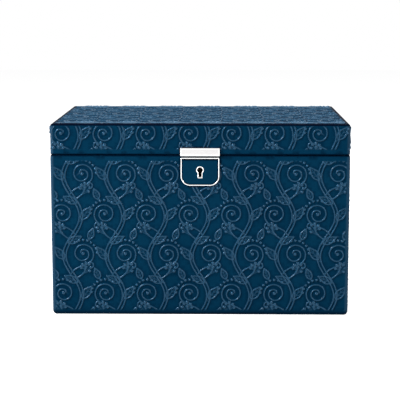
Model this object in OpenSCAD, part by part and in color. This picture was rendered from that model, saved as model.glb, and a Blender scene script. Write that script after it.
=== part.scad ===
// Leather-covered jewellery case with a hinged lid, a box lock and a tray that rises with the lid.
// X runs to the right, Y to the back and Z up. The origin is the middle of the underside.

/* [Case] */
// Width over the leather
case_w = 280; // [220:1:360]
// Depth over the leather, without the lock bar and the hinge barrels
case_d = 200; // [180:1:240]
// Height with the lid closed
case_h = 182; // [165:1:220]
// Height of the lid over the leather
lid_h = 28.8; // [26:0.2:36]
// Gap between the lid and the body all round
joint_gap = 0.6; // [0.5:0.1:1]
// Radius of the upright corners and of the bottom edge
corner_r = 3.5; // [3:0.1:5]
// Radius of the lid's top edge
lid_edge_r = 2.6; // [2:0.1:3]
// Radius of the leather where it turns over a rim
rim_edge_r = 0.7; // [0.4:0.1:0.8]

/* [Boards and coverings] */
// Thickness of the wall boards
board_t = 9; // [8.5:0.5:12]
// Thickness of the base board
base_t = 9; // [6:0.5:12]
// Thickness of the board in the top of the lid
lid_board_t = 8; // [6:0.5:9]
// Number of fingers in each corner joint of the body
body_fingers = 7; // [3:2:11]
// Number of fingers in each corner joint of the lid
lid_fingers = 3; // [1:2:3]
// Thickness of the leather on the outside
leather_t = 1.2; // [0.8:0.1:1.4]
// Thickness of the leather where it is pared to turn over a rim
pared_t = 0.8; // [0.5:0.1:1]
// Width of the leather turned under the base
turn_under = 14; // [8:1:25]
// Thickness of the suede-covered lining card
lining_t = 1.4; // [1.2:0.1:2]
// Height of the lining that stands above the rim of the body
collar_h = 4; // [2:0.5:5]
// Thickness of the lining card above the rim
collar_t = 1; // [0.6:0.1:1]

/* [Lock, outside] */
// Width of the lock plate and of the bar above it
lock_w = 36.8; // [32:0.2:44]
// Height of the lock plate
plate_h = 27; // [26:0.2:32]
// Distance from the rim down to the top of the lock plate
plate_drop = 1.7; // [1.6:0.1:3]
// Radius of the lock plate's lower corners
plate_corner_r = 9; // [5:0.5:12]
// Width of the raised metal line round the lock plate
plate_rim_w = 1.7; // [1.2:0.1:2.4]
// Thickness of the plate behind the leather inlay
plate_t = 0.5; // [0.4:0.1:0.8]
// Height of the raised line above the leather of the case
plate_rim_h = 1.5; // [1.2:0.1:1.8]
// Thickness of the leather inlay
inlay_t = 0.6; // [0.4:0.1:0.7]
// Height of the bar on the lid
bar_h = 7.5; // [6:0.1:9]
// Distance that the bar reaches below the rim of the body
bar_overlap = 0.4; // [0.3:0.1:1.2]
// Thickness of the bar
bar_t = 2.2; // [1.6:0.1:3]
// Width of the bevel round the bar's front
bar_bevel = 0.7; // [0.4:0.1:1]
// Distance from the rim down to the centre of the keyhole
key_drop = 13.6; // [13.4:0.1:14.6]
// Radius of the round part of the keyhole
key_r = 2.5; // [2.2:0.1:2.7]
// Width of the keyhole's slot
key_slot_w = 2.5; // [1.8:0.1:2.6]
// Reach of the slot below the keyhole's centre
key_slot_reach = 6.6; // [6:0.1:7]
// Width of the metal line round the keyhole
key_rim_w = 1.3; // [0.8:0.1:1.6]

/* [Lock, inside] */
// Width of the lock case
lock_case_w = 32; // [31:0.5:34]
// Height of the lock case
lock_case_h = 27; // [26:0.5:30]
// Depth of the lock case
lock_case_d = 7.2; // [7.2:0.1:7.6]
// Thickness of the lock case's walls
lock_wall = 1; // [0.8:0.1:1]
// Width of the flange on the rim
selvage_w = 48; // [46:1:56]
// Radius at which the drive pin turns
drive_r = 3.9; // [3.7:0.1:4]
// Angle through which the key turns
key_turn = 90; // [80:1:90]
// Thickness of the bolt
bolt_t = 2; // [1.8:0.1:2]
// Height of the bolt
bolt_h = 6; // [5.5:0.1:6.5]
// Thickness of the staple, along the width of the case
staple_t = 2.2; // [1.8:0.1:2.4]
// Distance from the lock's middle to the staple
staple_x = 6.6; // [6.4:0.1:7]

/* [Hinges] */
// Width of each hinge
hinge_w = 38; // [30:1:60]
// Distance from each end of the case to the middle of its hinge
hinge_inset = 52; // [40:1:70]
// Radius of the hinge barrel
barrel_r = 2; // [1.8:0.1:2.4]
// Radius of the hinge pin
pin_r = 1; // [0.8:0.1:1.2]
// Thickness of a hinge leaf
leaf_t = 1.4; // [1:0.1:1.6]
// Width of the step from the rim's inner edge to a leaf
leaf_inset = 1; // [0.6:0.1:2]
// Number of knuckles in a barrel
knuckles = 5; // [3:2:7]

/* [Tray lift] */
// Distance from the hinge axis forward to the brackets' pivots
crank_run = 58.5; // [56:0.5:62]
// Distance from the hinge axis down to the brackets' pivots
crank_drop = 13.3; // [12:0.1:15]
// Distance from the brackets' pivots forward to the arms' pivots on the tray
pivot_spacing = 50; // [40:1:60]
// Thickness of the arms and the brackets
arm_t = 1.6; // [1.2:0.1:1.8]
// Width of the arms
arm_w = 8; // [7:0.5:9]
// Radius of the studs in the pivots
stud_r = 1.6; // [1.4:0.1:2]
// Angle through which the lid opens
lid_opens = 95; // [85:1:95]

/* [Tray] */
// Height of the tray
tray_h = 45; // [40:1:50]
// Distance from the rim of the body down to the tray's top edge
tray_drop = 2; // [1:0.5:5]
// Gap at the front of the tray
tray_front_gap = 3.4; // [3:0.1:8]
// Gap on each side of the tray, which holds the arms
tray_side_gap = 6.4; // [6.3:0.1:8]
// Distance from the brackets' pivots to the tray's back edge
tray_tail = 8.3; // [7:0.1:9]
// Thickness of the tray's walls
tray_wall = 4; // [3:0.5:5]
// Thickness of the tray's floor
tray_floor_t = 2.4; // [2:0.1:4]
// Thickness of the tray's suede lining
tray_lining_t = 1; // [0.6:0.1:1.2]
// Thickness of the tray's dividers
tray_divider_t = 2.4; // [1.6:0.1:3]
// Width of the part of the tray that holds rings
ring_bay_w = 110; // [80:1:130]
// Diameter of a ring roll
roll_d = 15; // [12:0.5:18]
// Distance from the tray's top edge down to the top of the ring rolls
roll_drop = 6; // [4:0.5:10]

/* [Lower compartments and mirror] */
// Height of the lower dividers
well_divider_h = 58; // [40:1:70]
// Thickness of the lower dividers
well_divider_t = 3; // [2:0.5:5]
// Distance from the middle of the case to a cross divider
well_cross_x = 43; // [30:1:60]
// Distance from the middle of the case back to the long divider
well_long_y = 12; // [0:1:30]
// Width of the mirror
mirror_w = 196; // [150:1:220]
// Depth of the mirror
mirror_d = 124; // [90:1:140]
// Thickness of the mirror
mirror_t = 2; // [1.5:0.1:3]
// Thickness of the padded frame round the mirror
pad_t = 4.5; // [4:0.1:6]

/* [Hidden] */
$fn = 48;
soft_fn = 32;
eps = 0.01;

navy = [0.02, 0.18, 0.29];
suede = [0.60, 0.55, 0.50];
fibreboard = [0.66, 0.52, 0.36];
steel = [0.80, 0.81, 0.82];
bright = [0.93, 0.93, 0.92];
brass = [0.80, 0.66, 0.36];
blackened = [0.13, 0.13, 0.14];
felt = [0.10, 0.12, 0.17];

// Levels and outlines of the body
body_h = case_h - lid_h - joint_gap;
board_x = case_w / 2 - leather_t;
board_y = case_d / 2 - leather_t;
inner_x = board_x - board_t;
inner_y = board_y - board_t;
well_x = inner_x - lining_t;
well_y = inner_y - lining_t;
boards_bottom = leather_t;
boards_top = body_h - pared_t;
floor_z = boards_bottom + base_t;
floor_top = floor_z + lining_t;
collar_top = body_h + collar_h;

// Levels of the lid
lid_bottom = body_h + joint_gap;
rails_bottom = lid_bottom + pared_t;
lid_top = case_h - leather_t;
ceiling_z = lid_top - lid_board_t;
lid_lining_bottom = collar_top + 1;

// Hinge axis
axis_y = case_d / 2 + 0.2;
axis_z = body_h + joint_gap / 2;
barrel_clear = 0.4;
knuckle_gap = 0.2;
leaf_gap = 0.3;
leaf_front = inner_y + leaf_inset;
hinge_x = case_w / 2 - hinge_inset;
knuckle_w = hinge_w / knuckles;
pin_clear = 0.04;

// Tray and its four-bar lift: lid, arm, tray and case make a parallelogram
tray_x = well_x - tray_side_gap;
tray_top = body_h - tray_drop;
tray_bottom = tray_top - tray_h;
stud_rise = 5.5;
crank = norm([crank_run, crank_drop]);
crank_angle = atan2(crank_drop, crank_run);
lid_pivot_y = axis_y - crank_run;
lid_pivot_z = axis_z - crank_drop;
pivot_fall = lid_pivot_z - (tray_bottom + stud_rise);
arm_tray_y = lid_pivot_y - pivot_spacing;
arm_tray_z = lid_pivot_z - pivot_fall;
arm_case_y = axis_y - pivot_spacing;
arm_case_z = axis_z - pivot_fall;
tray_front_y = -well_y + tray_front_gap;
tray_back_y = lid_pivot_y + tray_tail;
arm_x = tray_x + 1.2;
head_t = 0.7;
head_r = stud_r + 1.7;
run_gap = 0.1;
bore_clear = 0.05;
rest_gap = 0.3;
rest_h = 6;
rest_reach = 4;

// Inside of the tray
bay_x = tray_x - tray_wall - tray_lining_t;
bay_front = tray_front_y + tray_wall + tray_lining_t;
bay_back = tray_back_y - tray_wall - tray_lining_t;
bay_floor = tray_bottom + tray_floor_t + tray_lining_t;
divider_drop = 3;
divider_top = tray_top - divider_drop;
ring_wall_x = -bay_x + ring_bay_w;
roll_gap = 0.6;
roll_pitch = roll_d + roll_gap;
roll_count = floor((bay_back - bay_front - roll_gap) / roll_pitch);
roll_z = tray_top - roll_drop - roll_d / 2;
roll_side_gap = 0.5;

// Lock
lock_back_y = -inner_y;
lock_front_y = lock_back_y - lock_case_d;
lock_bottom = boards_top - lock_case_h;
cap_t = lock_wall;
cavity_front = lock_front_y + lock_wall;
cavity_back = lock_back_y - cap_t;
key_z = body_h - key_drop;
key_clear = 0.8;
hub_r = 5.4;
hub_t = 1.4;
hub_front = cavity_front + run_gap;
hub_back = hub_front + hub_t;
boss_r = 3.9;
drive_pin_r = 0.8;
slot_clear = 0.17;
bolt_front = hub_back + 0.3;
bolt_back = bolt_front + bolt_t;
bolt_bottom = key_z + 1.2;
bolt_top = bolt_bottom + bolt_h;
drive_z_low = key_z + drive_r * cos(key_turn / 2);
drive_z_high = key_z + drive_r;
bolt_throw = 2 * drive_r * sin(key_turn / 2);
nose_end = staple_x - 1.6;
nose_h = 3.4;
nose_len = 4.6;
post_r = 1;
spring_t = 0.4;
spring_len = 18.5;
staple_front = bolt_front - 1.1;
staple_back = bolt_back + 0.95;
window_rise = 0.6;
staple_foot = 1.8;
staple_bottom = bolt_top - nose_h - window_rise - staple_foot;
window_clear = 0.25;
strike_w = lock_case_w - 2 * lock_wall;
strike_screw_gap = 11;
strike_t = 1.2;
selvage_t = pared_t;
selvage_front = lock_front_y;
lock_screw_x = selvage_w / 2 - 4;
bar_bottom = body_h - bar_overlap;
bar_lip_gap = 0.3;
plate_top = body_h - plate_drop;

// ---------- Shapes that repeat ----------

// A box between two corners, given as ranges along X, Y and Z
module block(x, y, z) {
    translate([x[0], y[0], z[0]]) cube([x[1] - x[0], y[1] - y[0], z[1] - z[0]]);
}

// A cylinder along X, from x[0] to x[1]
module rod_x(r, x, y, z) {
    translate([x[0], y, z]) rotate([0, 90, 0]) cylinder(r = r, h = x[1] - x[0]);
}

// A cylinder along Y, from y[0] to y[1]
module rod_y(r, x, y, z) {
    translate([x, y[0], z]) rotate([-90, 0, 0]) cylinder(r = r, h = y[1] - y[0]);
}

// A flat outline drawn in X and Z, and given its thickness along Y
module plate_y(y) {
    translate([0, y[1], 0]) rotate([90, 0, 0]) linear_extrude(y[1] - y[0]) children();
}

// A flat outline drawn in Y and Z, and given its thickness along X
module plate_x(x) {
    translate([x[0], 0, 0]) rotate([90, 0, 90]) linear_extrude(x[1] - x[0]) children();
}

// An upright panel with a round top edge; it runs along X
module panel_x(x, y, z) {
    r = (y[1] - y[0]) / 2;
    block(x, y, [z[0], z[1] - r]);
    rod_x(r, x, y[0] + r, z[1] - r);
}

// The same panel, running along Y
module panel_y(x, y, z) {
    r = (x[1] - x[0]) / 2;
    block(x, y, [z[0], z[1] - r]);
    rod_y(r, x[0] + r, y, z[1] - r);
}

// Both ends of the case
module both_ends() {
    children();
    mirror([1, 0, 0]) children();
}

module rounded_rectangle(x, y, r) {
    square([2 * (x - r), 2 * y], center = true);
    square([2 * x, 2 * (y - r)], center = true);
    for (sx = [-1, 1], sy = [-1, 1]) translate([sx * (x - r), sy * (y - r)]) circle(r);
}

// Rounded block: its upright corners, bottom edge and top edge each have a radius
module soft_block(x, y, z, r, bottom_r, top_r) {
    hull() for (sx = [-1, 1], sy = [-1, 1])
        translate([sx * (x - r), sy * (y - r), 0])
            rotate_extrude($fn = soft_fn) hull() {
                translate([0, z[0]]) square([r - bottom_r, eps]);
                translate([0, z[1] - eps]) square([r - top_r, eps]);
                intersection() {
                    translate([0, z[0]]) square([r, z[1] - z[0]]);
                    union() {
                        translate([r - bottom_r, z[0] + bottom_r]) circle(bottom_r);
                        translate([r - top_r, z[1] - top_r]) circle(top_r);
                    }
                }
            }
}

// What the boards fill: an upright column whose bottom and top edges are bevelled
module board_core(z, bottom_bevel, top_bevel) {
    difference() {
        translate([0, 0, z[0]]) linear_extrude(z[1] - z[0])
            rounded_rectangle(board_x, board_y, corner_r - leather_t);
        if (bottom_bevel > 0) edge_bevels(z[0], bottom_bevel);
        if (top_bevel > 0) edge_bevels(z[1], top_bevel);
    }
}

module edge_bevels(z, size) {
    side = size * sqrt(2);
    for (s = [-1, 1]) {
        translate([s * board_x, 0, z]) rotate([0, 45, 0]) cube([side, case_d + 2, side], center = true);
        translate([0, s * board_y, z]) rotate([45, 0, 0]) cube([case_w + 2, side, side], center = true);
    }
}

// One corner's fingers: every other slice of the corner post, starting with the first or the second
module fingers(z, count, first) {
    step = (z[1] - z[0]) / count;
    for (i = [first : 2 : count - 1])
        block([inner_x, board_x], [inner_y, board_y], [z[0] + i * step, z[0] + (i + 1) * step]);
}

// Front or back board of a frame: its panel with the even fingers at both ends
module long_board(z, count, core_bevels) {
    intersection() {
        union() {
            block([-inner_x, inner_x], [inner_y, board_y], z);
            both_ends() fingers(z, count, 0);
        }
        board_core(z, core_bevels[0], core_bevels[1]);
    }
}

// Side board of a frame: its panel with the odd fingers at both ends
module short_board(z, count, core_bevels) {
    intersection() {
        union() {
            block([inner_x, board_x], [-inner_y, inner_y], z);
            for (flip = [0, 1]) mirror([0, flip, 0]) fingers(z, count, 1);
        }
        board_core(z, core_bevels[0], core_bevels[1]);
    }
}

module keyhole_outline(grow) {
    circle(key_r + grow);
    translate([-key_slot_w / 2 - grow, -key_slot_reach - grow]) square([key_slot_w + 2 * grow, key_slot_reach + grow]);
}

// Lock plate outline: square at the top, round at the lower corners
module shield(inset) {
    w = lock_w - 2 * inset;
    h = plate_h - 2 * inset;
    r = plate_corner_r - inset;
    translate([-w / 2, plate_top - inset - h + r]) square([w, h - r]);
    translate([-w / 2 + r, plate_top - inset - h]) square([w - 2 * r, r + eps]);
    for (s = [-1, 1]) translate([s * (w / 2 - r), plate_top - inset - h + r]) circle(r);
}

// Countersunk wood screw pointing along -Z from the origin, with a slotted head
module wood_screw(length, shank_r) {
    difference() {
        union() {
            translate([0, 0, -shank_r * 0.9]) cylinder(r1 = shank_r, r2 = shank_r * 1.9, h = shank_r * 0.9);
            translate([0, 0, -length]) cylinder(r = shank_r, h = length - shank_r * 0.9 + eps);
        }
        translate([0, 0, 0]) cube([shank_r * 4, 0.5, 0.6], center = true);
    }
}

// Room for a wood screw, a little larger all round
module screw_room(length, shank_r) {
    grow = bore_clear;
    translate([0, 0, -shank_r * 0.9 - grow])
        cylinder(r1 = shank_r + grow, r2 = shank_r * 1.9 + grow, h = shank_r * 0.9 + grow + eps);
    translate([0, 0, -length - grow]) cylinder(r = shank_r + grow, h = length);
}

// ---------- Body of the case ----------

body_z = [boards_bottom, boards_top];
body_bevels = [1.4, 0];
lid_z = [rails_bottom, lid_top];
lid_bevels = [0, 0.8];
screw_len = 9;
screw_r = 1.1;

module front_board() {
    color(fibreboard) difference() {
        mirror([0, 1, 0]) long_board(body_z, body_fingers, body_bevels);
        lock_recess();
        plate_y([-board_y - eps, lock_front_y + eps]) translate([0, key_z]) keyhole_outline(key_clear);
        plate_pins(bore_clear);
        lock_screw_places() screw_room(screw_len, screw_r);
    }
}

module back_board() {
    color(fibreboard) difference() {
        long_board(body_z, body_fingers, body_bevels);
        hinge_recesses([body_h - leaf_t, body_h + 1]);
        body_hinge_screw_places() screw_room(screw_len, screw_r);
    }
}

module side_board() {
    color(fibreboard) difference() {
        short_board(body_z, body_fingers, body_bevels);
        rod_x(stud_r + 0.4 + bore_clear, [inner_x - eps, inner_x + 6.2], arm_case_y, arm_case_z);
        rod_x(stop_r + bore_clear, [inner_x - eps, inner_x + 6.2], stop_y, stop_z);
    }
}

module base_board() {
    color(fibreboard) block([-inner_x, inner_x], [-inner_y, inner_y], [boards_bottom, floor_z]);
}

// The leather cover of the body: up the walls, over the rim and under the base
module body_leather() {
    color(navy) difference() {
        soft_block(case_w / 2, case_d / 2, [0, body_h], corner_r, corner_r, rim_edge_r);
        board_core(body_z, body_bevels[0], body_bevels[1]);
        block([-inner_x, inner_x], [-inner_y, inner_y], [boards_top - 1, body_h + 1]);
        block([-case_w / 2 + turn_under, case_w / 2 - turn_under],
              [-case_d / 2 + turn_under, case_d / 2 - turn_under], [-1, leather_t + 1]);
        plate_y([-case_d / 2 - 1, -board_y + 1]) translate([0, key_z]) keyhole_outline(key_clear);
        plate_pins(bore_clear);
        block([-selvage_w / 2, selvage_w / 2], [selvage_front, -inner_y + 1], [boards_top - 1, body_h + 1]);
        hinge_recesses([body_h - leaf_t, body_h + 1]);
    }
}

module base_felt() {
    color(felt) block([-case_w / 2 + turn_under + 0.2, case_w / 2 - turn_under - 0.2],
                      [-case_d / 2 + turn_under + 0.2, case_d / 2 - turn_under - 0.2], [0, leather_t]);
}

// ---------- Linings and lower compartments ----------

module floor_lining() {
    color(suede) block([-inner_x, inner_x], [-inner_y, inner_y], [floor_z, floor_top]);
}

// A wall lining's upright card: full thickness to the rim, thinner where it stands above it
module lining_card(reach, face) {
    block(reach, [face - lining_t, face], [floor_top, body_h]);
    block(reach, [face - lining_t, face - lining_t + collar_t], [body_h - eps, collar_top]);
}

module long_lining() {
    color(suede) lining_card([-well_x, well_x], inner_y);
}

module side_lining() {
    color(suede) difference() {
        rotate([0, 0, -90]) lining_card([-inner_y + collar_setback, inner_y - collar_setback], inner_x);
        rod_x(head_r + 0.1, [well_x - 1, inner_x + 1], arm_case_y, arm_case_z);
        rod_x(stop_r + 0.1, [well_x - 1, inner_x + 1], stop_y, stop_z);
    }
}

collar_setback = lining_t - collar_t;

module well_long_divider() {
    color(suede) difference() {
        panel_x([-well_x, well_x], [well_long_y - well_divider_t / 2, well_long_y + well_divider_t / 2],
                [floor_top, floor_top + well_divider_h]);
        both_ends() block(
            [well_cross_x - well_divider_t / 2, well_cross_x + well_divider_t / 2],
            [well_long_y - well_divider_t, well_long_y + well_divider_t],
            [floor_top + well_divider_h / 2, floor_top + well_divider_h + 1]);
    }
}

module well_cross_dividers() {
    color(suede) both_ends() difference() {
        panel_y([well_cross_x - well_divider_t / 2, well_cross_x + well_divider_t / 2],
                [-well_y, well_y], [floor_top, floor_top + well_divider_h]);
        block([well_cross_x - well_divider_t, well_cross_x + well_divider_t],
              [well_long_y - well_divider_t / 2, well_long_y + well_divider_t / 2],
              [floor_top - 1, floor_top + well_divider_h / 2]);
    }
}

// Ledge that the closed tray rests on
module tray_rest() {
    color(suede) block([tray_x - rest_reach, well_x], [tray_front_y + 4, tray_back_y - 4],
                       [tray_bottom - rest_gap - rest_h, tray_bottom - rest_gap]);
}

// ---------- Lock ----------

module lock_recess() {
    block([-lock_case_w / 2, lock_case_w / 2], [lock_front_y, lock_back_y + 1], [lock_bottom, boards_top + 1]);
}

// Two short pins that hold the lock plate to the board
module plate_pins(grow) {
    for (s = [-1, 1]) rod_y(0.7 + grow, s * (lock_w / 2 - 4), [-case_d / 2 - eps, -board_y + 1.2 + grow], plate_top - 4);
}

module lock_plate() {
    color(bright) {
        difference() {
            plate_y([-case_d / 2 - plate_rim_h, -case_d / 2]) shield(0);
            plate_y([-case_d / 2 - plate_rim_h - 1, -case_d / 2 - plate_t]) shield(plate_rim_w);
            plate_y([-case_d / 2 - plate_rim_h - 1, -case_d / 2 + 1]) translate([0, key_z]) keyhole_outline(0);
        }
        plate_pins(0);
    }
}

module lock_inlay() {
    color(navy) difference() {
        plate_y([-case_d / 2 - plate_t - inlay_t, -case_d / 2 - plate_t]) shield(plate_rim_w);
        plate_y([-case_d / 2 - plate_rim_h - 1, -case_d / 2]) translate([0, key_z]) keyhole_outline(key_rim_w);
    }
}

module keyhole_rim() {
    color(bright) difference() {
        plate_y([-case_d / 2 - plate_rim_h - 0.1, -case_d / 2 - plate_t]) translate([0, key_z]) keyhole_outline(key_rim_w);
        plate_y([-case_d / 2 - plate_rim_h - 1, -case_d / 2]) translate([0, key_z]) keyhole_outline(0);
    }
}

// Pressed case of the lock, with its flange on the rim and the guides for the bolt
module lock_case() {
    color(steel) difference() {
        union() {
            block([-lock_case_w / 2, lock_case_w / 2], [lock_front_y, lock_back_y], [lock_bottom, body_h]);
            block([-selvage_w / 2, selvage_w / 2], [selvage_front, lock_back_y], [boards_top, body_h]);
        }
        difference() {
            block([-lock_case_w / 2 + lock_wall, lock_case_w / 2 - lock_wall], [cavity_front, lock_back_y + 1],
                  [lock_bottom + lock_wall, boards_top - lock_wall]);
            bolt_guides();
        }
        block([staple_x - 0.6, staple_x + staple_t + 0.6], [cavity_front, cavity_back], [boards_top - 2, body_h + 1]);
        plate_y([lock_front_y - 1, cavity_front + eps]) translate([0, key_z]) keyhole_outline(0);
        rod_y(boss_r + bore_clear, 0, [lock_front_y - eps, cavity_front + eps], key_z);
        lock_screw_places() screw_room(screw_len, screw_r);
    }
}

module bolt_guides() {
    guide_x = -lock_case_w / 2 + lock_wall;
    block([guide_x, guide_x + 7], [cavity_front - eps, cavity_back], [bolt_bottom - 1.2, bolt_bottom - run_gap]);
    block([guide_x, guide_x + 7], [cavity_front - eps, bolt_front - run_gap], [bolt_bottom - run_gap - eps, bolt_top]);
}

module lock_cap() {
    color(steel) {
        block([-lock_case_w / 2 + lock_wall, lock_case_w / 2 - lock_wall], [cavity_back, lock_back_y],
              [lock_bottom + lock_wall, boards_top - lock_wall]);
        rod_y(post_r, 0, [hub_front + 0.4, cavity_back + eps], key_z);
    }
}

// The hub that the key turns: a round plate with a socket for the key and a pin that drives the bolt
module key_hub() {
    turned = -key_turn / 2;
    color(blackened) {
        difference() {
            union() {
                rod_y(boss_r, 0, [lock_front_y + run_gap, hub_front + eps], key_z);
                rod_y(hub_r, 0, [hub_front, hub_back], key_z);
            }
            rod_y(post_r + bore_clear, 0, [lock_front_y - 1, hub_back + 1], key_z);
            plate_y([lock_front_y - 1, hub_back - 0.5]) translate([0, key_z]) circle(key_r);
            block([-key_slot_w / 2, key_slot_w / 2], [lock_front_y - 1, hub_back + 1],
                  [key_z - hub_r - 1, key_z]);
        }
        rod_y(drive_pin_r, drive_r * sin(turned), [hub_back - eps, bolt_back - 0.2],
              key_z + drive_r * cos(turned));
    }
}

module lock_bolt() {
    tail = -lock_case_w / 2 + lock_wall + 1;
    nose_start = nose_end - nose_len;
    slot_x = -drive_r * sin(key_turn / 2);
    color(brass) difference() {
        union() {
            block([tail, nose_start], [bolt_front, bolt_back], [bolt_bottom, bolt_top]);
            block([nose_start - eps, nose_end], [bolt_front, bolt_back], [bolt_top - nose_h, bolt_top]);
        }
        block([slot_x - drive_pin_r - slot_clear, slot_x + drive_pin_r + slot_clear],
              [bolt_front - 1, bolt_back + 1],
              [drive_z_low - drive_pin_r - 0.2, drive_z_high + drive_pin_r + 0.2]);
    }
}

// Bent leaf spring that presses on the bolt so that it stays where the key leaves it
module bolt_spring() {
    t = spring_t;
    left = -lock_case_w / 2 + lock_wall;
    foot = left + spring_len * 0.22;
    bend = left + spring_len * 0.54;
    rise = bend + spring_len * 0.16;
    tip = left + spring_len;
    top = boards_top - lock_wall;
    low = bolt_top + run_gap;
    color(steel) plate_y([bolt_front, bolt_back]) polygon([
        [left, top], [foot, top], [bend, low + t], [rise, low + t], [tip - t, top - t],
        [tip, top - 2 * t], [rise + t, low], [bend - t, low], [foot - t, top - t], [left, top - t],
    ]);
}

module lock_screw_places() {
    for (s = [-1, 1]) translate([s * lock_screw_x, (selvage_front + lock_back_y) / 2, body_h]) children();
}

module lock_screws() {
    color(steel) lock_screw_places() wood_screw(screw_len, screw_r);
}

// ---------- Hinges ----------

// Room for the leaves and the barrels, cut out of the boards and the leather between two levels
module hinge_recesses(z) {
    both_ends() {
        block([hinge_x - hinge_w / 2 - 0.1, hinge_x + hinge_w / 2 + 0.1], [leaf_front - 0.1, axis_y + 2], z);
        rod_x(barrel_r + barrel_clear, [hinge_x - hinge_w / 2 - 0.1, hinge_x + hinge_w / 2 + 0.1], axis_y, axis_z);
    }
}

// One leaf with its knuckles: first is 0 for the leaf with the outer knuckles and 1 for the other
module hinge_leaf(z, first) {
    left = hinge_x - hinge_w / 2;
    difference() {
        union() {
            block([left, left + hinge_w], [leaf_front, axis_y], z);
            for (i = [first : 2 : knuckles - 1])
                rod_x(barrel_r, [left + i * knuckle_w + knuckle_gap / 2, left + (i + 1) * knuckle_w - knuckle_gap / 2],
                      axis_y, axis_z);
        }
        for (i = [1 - first : 2 : knuckles - 1])
            block([left + i * knuckle_w - knuckle_gap / 2 - eps, left + (i + 1) * knuckle_w + knuckle_gap / 2 + eps],
                  [axis_y - barrel_r - leaf_gap, axis_y + 1], [z[0] - 1, z[1] + 1]);
        rod_x(pin_r + pin_clear, [left - 1, left + hinge_w + 1], axis_y, axis_z);
    }
}

module body_hinge_leaves() {
    color(steel) both_ends() difference() {
        hinge_leaf([body_h - leaf_t, body_h], 0);
        body_hinge_screw_places() screw_room(screw_len, screw_r);
    }
}

module lid_hinge_leaves() {
    color(steel) both_ends() difference() {
        hinge_leaf([lid_bottom, lid_bottom + leaf_t], 1);
        lid_hinge_screw_places() screw_room(screw_len, screw_r);
    }
}

module hinge_pins() {
    color(steel) both_ends() rod_x(pin_r, [hinge_x - hinge_w / 2, hinge_x + hinge_w / 2], axis_y, axis_z);
}

module hinge_screw_spots() {
    for (end = [0, 1], s = [-1, 1]) mirror([end, 0, 0])
        translate([hinge_x + s * hinge_w * 0.3, (leaf_front + axis_y - barrel_r - leaf_gap) / 2, 0]) children();
}

module body_hinge_screw_places() {
    hinge_screw_spots() translate([0, 0, body_h]) children();
}

module lid_hinge_screw_places() {
    hinge_screw_spots() translate([0, 0, lid_bottom]) mirror([0, 0, 1]) children();
}

module body_hinge_screws() {
    color(steel) body_hinge_screw_places() wood_screw(screw_len, screw_r);
}

module lid_hinge_screws() {
    color(steel) lid_hinge_screw_places() wood_screw(screw_len, screw_r);
}

// ---------- Lid ----------

module strike_recess() {
    block([-strike_w / 2 - 0.1, strike_w / 2 + 0.1], [selvage_front - 0.1, -inner_y + 1],
          [lid_bottom - 1, lid_bottom + strike_t]);
}

module lid_top_board() {
    color(fibreboard) intersection() {
        block([-board_x, board_x], [-board_y, board_y], [ceiling_z, lid_top]);
        board_core(lid_z, lid_bevels[0], lid_bevels[1]);
    }
}

rail_z = [rails_bottom, ceiling_z];

module lid_front_rail() {
    color(fibreboard) difference() {
        mirror([0, 1, 0]) long_board(rail_z, lid_fingers, [0, 0]);
        strike_recess();
        strike_screw_places() screw_room(screw_len, screw_r);
        bar_pins(bore_clear);
    }
}

module lid_back_rail() {
    color(fibreboard) difference() {
        long_board(rail_z, lid_fingers, [0, 0]);
        hinge_recesses([lid_bottom - 1, lid_bottom + leaf_t]);
        lid_hinge_screw_places() screw_room(screw_len, screw_r);
    }
}

module lid_side_rail() {
    color(fibreboard) difference() {
        short_board(rail_z, lid_fingers, [0, 0]);
        bracket_screw_places() screw_room(bracket_screw_len, screw_r);
    }
}

// The leather cover of the lid: over the top, down the sides and in under the rim
module lid_leather() {
    color(navy) difference() {
        soft_block(case_w / 2, case_d / 2, [lid_bottom, case_h], corner_r, rim_edge_r, lid_edge_r);
        board_core(lid_z, lid_bevels[0], lid_bevels[1]);
        block([-inner_x, inner_x], [-inner_y, inner_y], [lid_bottom - 1, rails_bottom + 1]);
        strike_recess();
        bar_pins(bore_clear);
        hinge_recesses([lid_bottom - 1, lid_bottom + leaf_t]);
    }
}

// Padded frame that holds the mirror against the top board
module lid_pad_frame() {
    color(suede) difference() {
        block([-inner_x, inner_x], [-inner_y, inner_y], [ceiling_z - pad_t, ceiling_z]);
        block([-mirror_w / 2 - 0.2, mirror_w / 2 + 0.2], [-mirror_d / 2 - 0.2, mirror_d / 2 + 0.2],
              [ceiling_z - mirror_t, ceiling_z + 1]);
        block([-mirror_w / 2 + 3, mirror_w / 2 - 3], [-mirror_d / 2 + 3, mirror_d / 2 - 3],
              [ceiling_z - pad_t - 1, ceiling_z + 1]);
    }
}

module mirror_glass() {
    color(bright) block([-mirror_w / 2, mirror_w / 2], [-mirror_d / 2, mirror_d / 2], [ceiling_z - mirror_t, ceiling_z]);
}

// Lining cards on the inner faces of the four rails
module lid_rim_linings() {
    z = [lid_lining_bottom, ceiling_z - pad_t];
    color(suede) difference() {
        union() {
            for (flip = [0, 1]) mirror([0, flip, 0]) block([-well_x, well_x], [well_y, inner_y], z);
            both_ends() block([well_x, inner_x], [-inner_y, inner_y], z);
        }
        both_ends() block([well_x - 1, inner_x + 1], bracket_y_range(0.2), [z[0] - 1, z[1] + 1]);
    }
}

// Bright bar on the front of the lid; its lip hangs over the joint with the body
// The corners of a plate seen from its end, with bevels at its front
function bevelled(side, depth, bevel) = [
    [side[0], depth[1]], [side[0], depth[0] + bevel], [side[0] + bevel, depth[0]],
    [side[1] - bevel, depth[0]], [side[1], depth[0] + bevel], [side[1], depth[1]]
];

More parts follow.
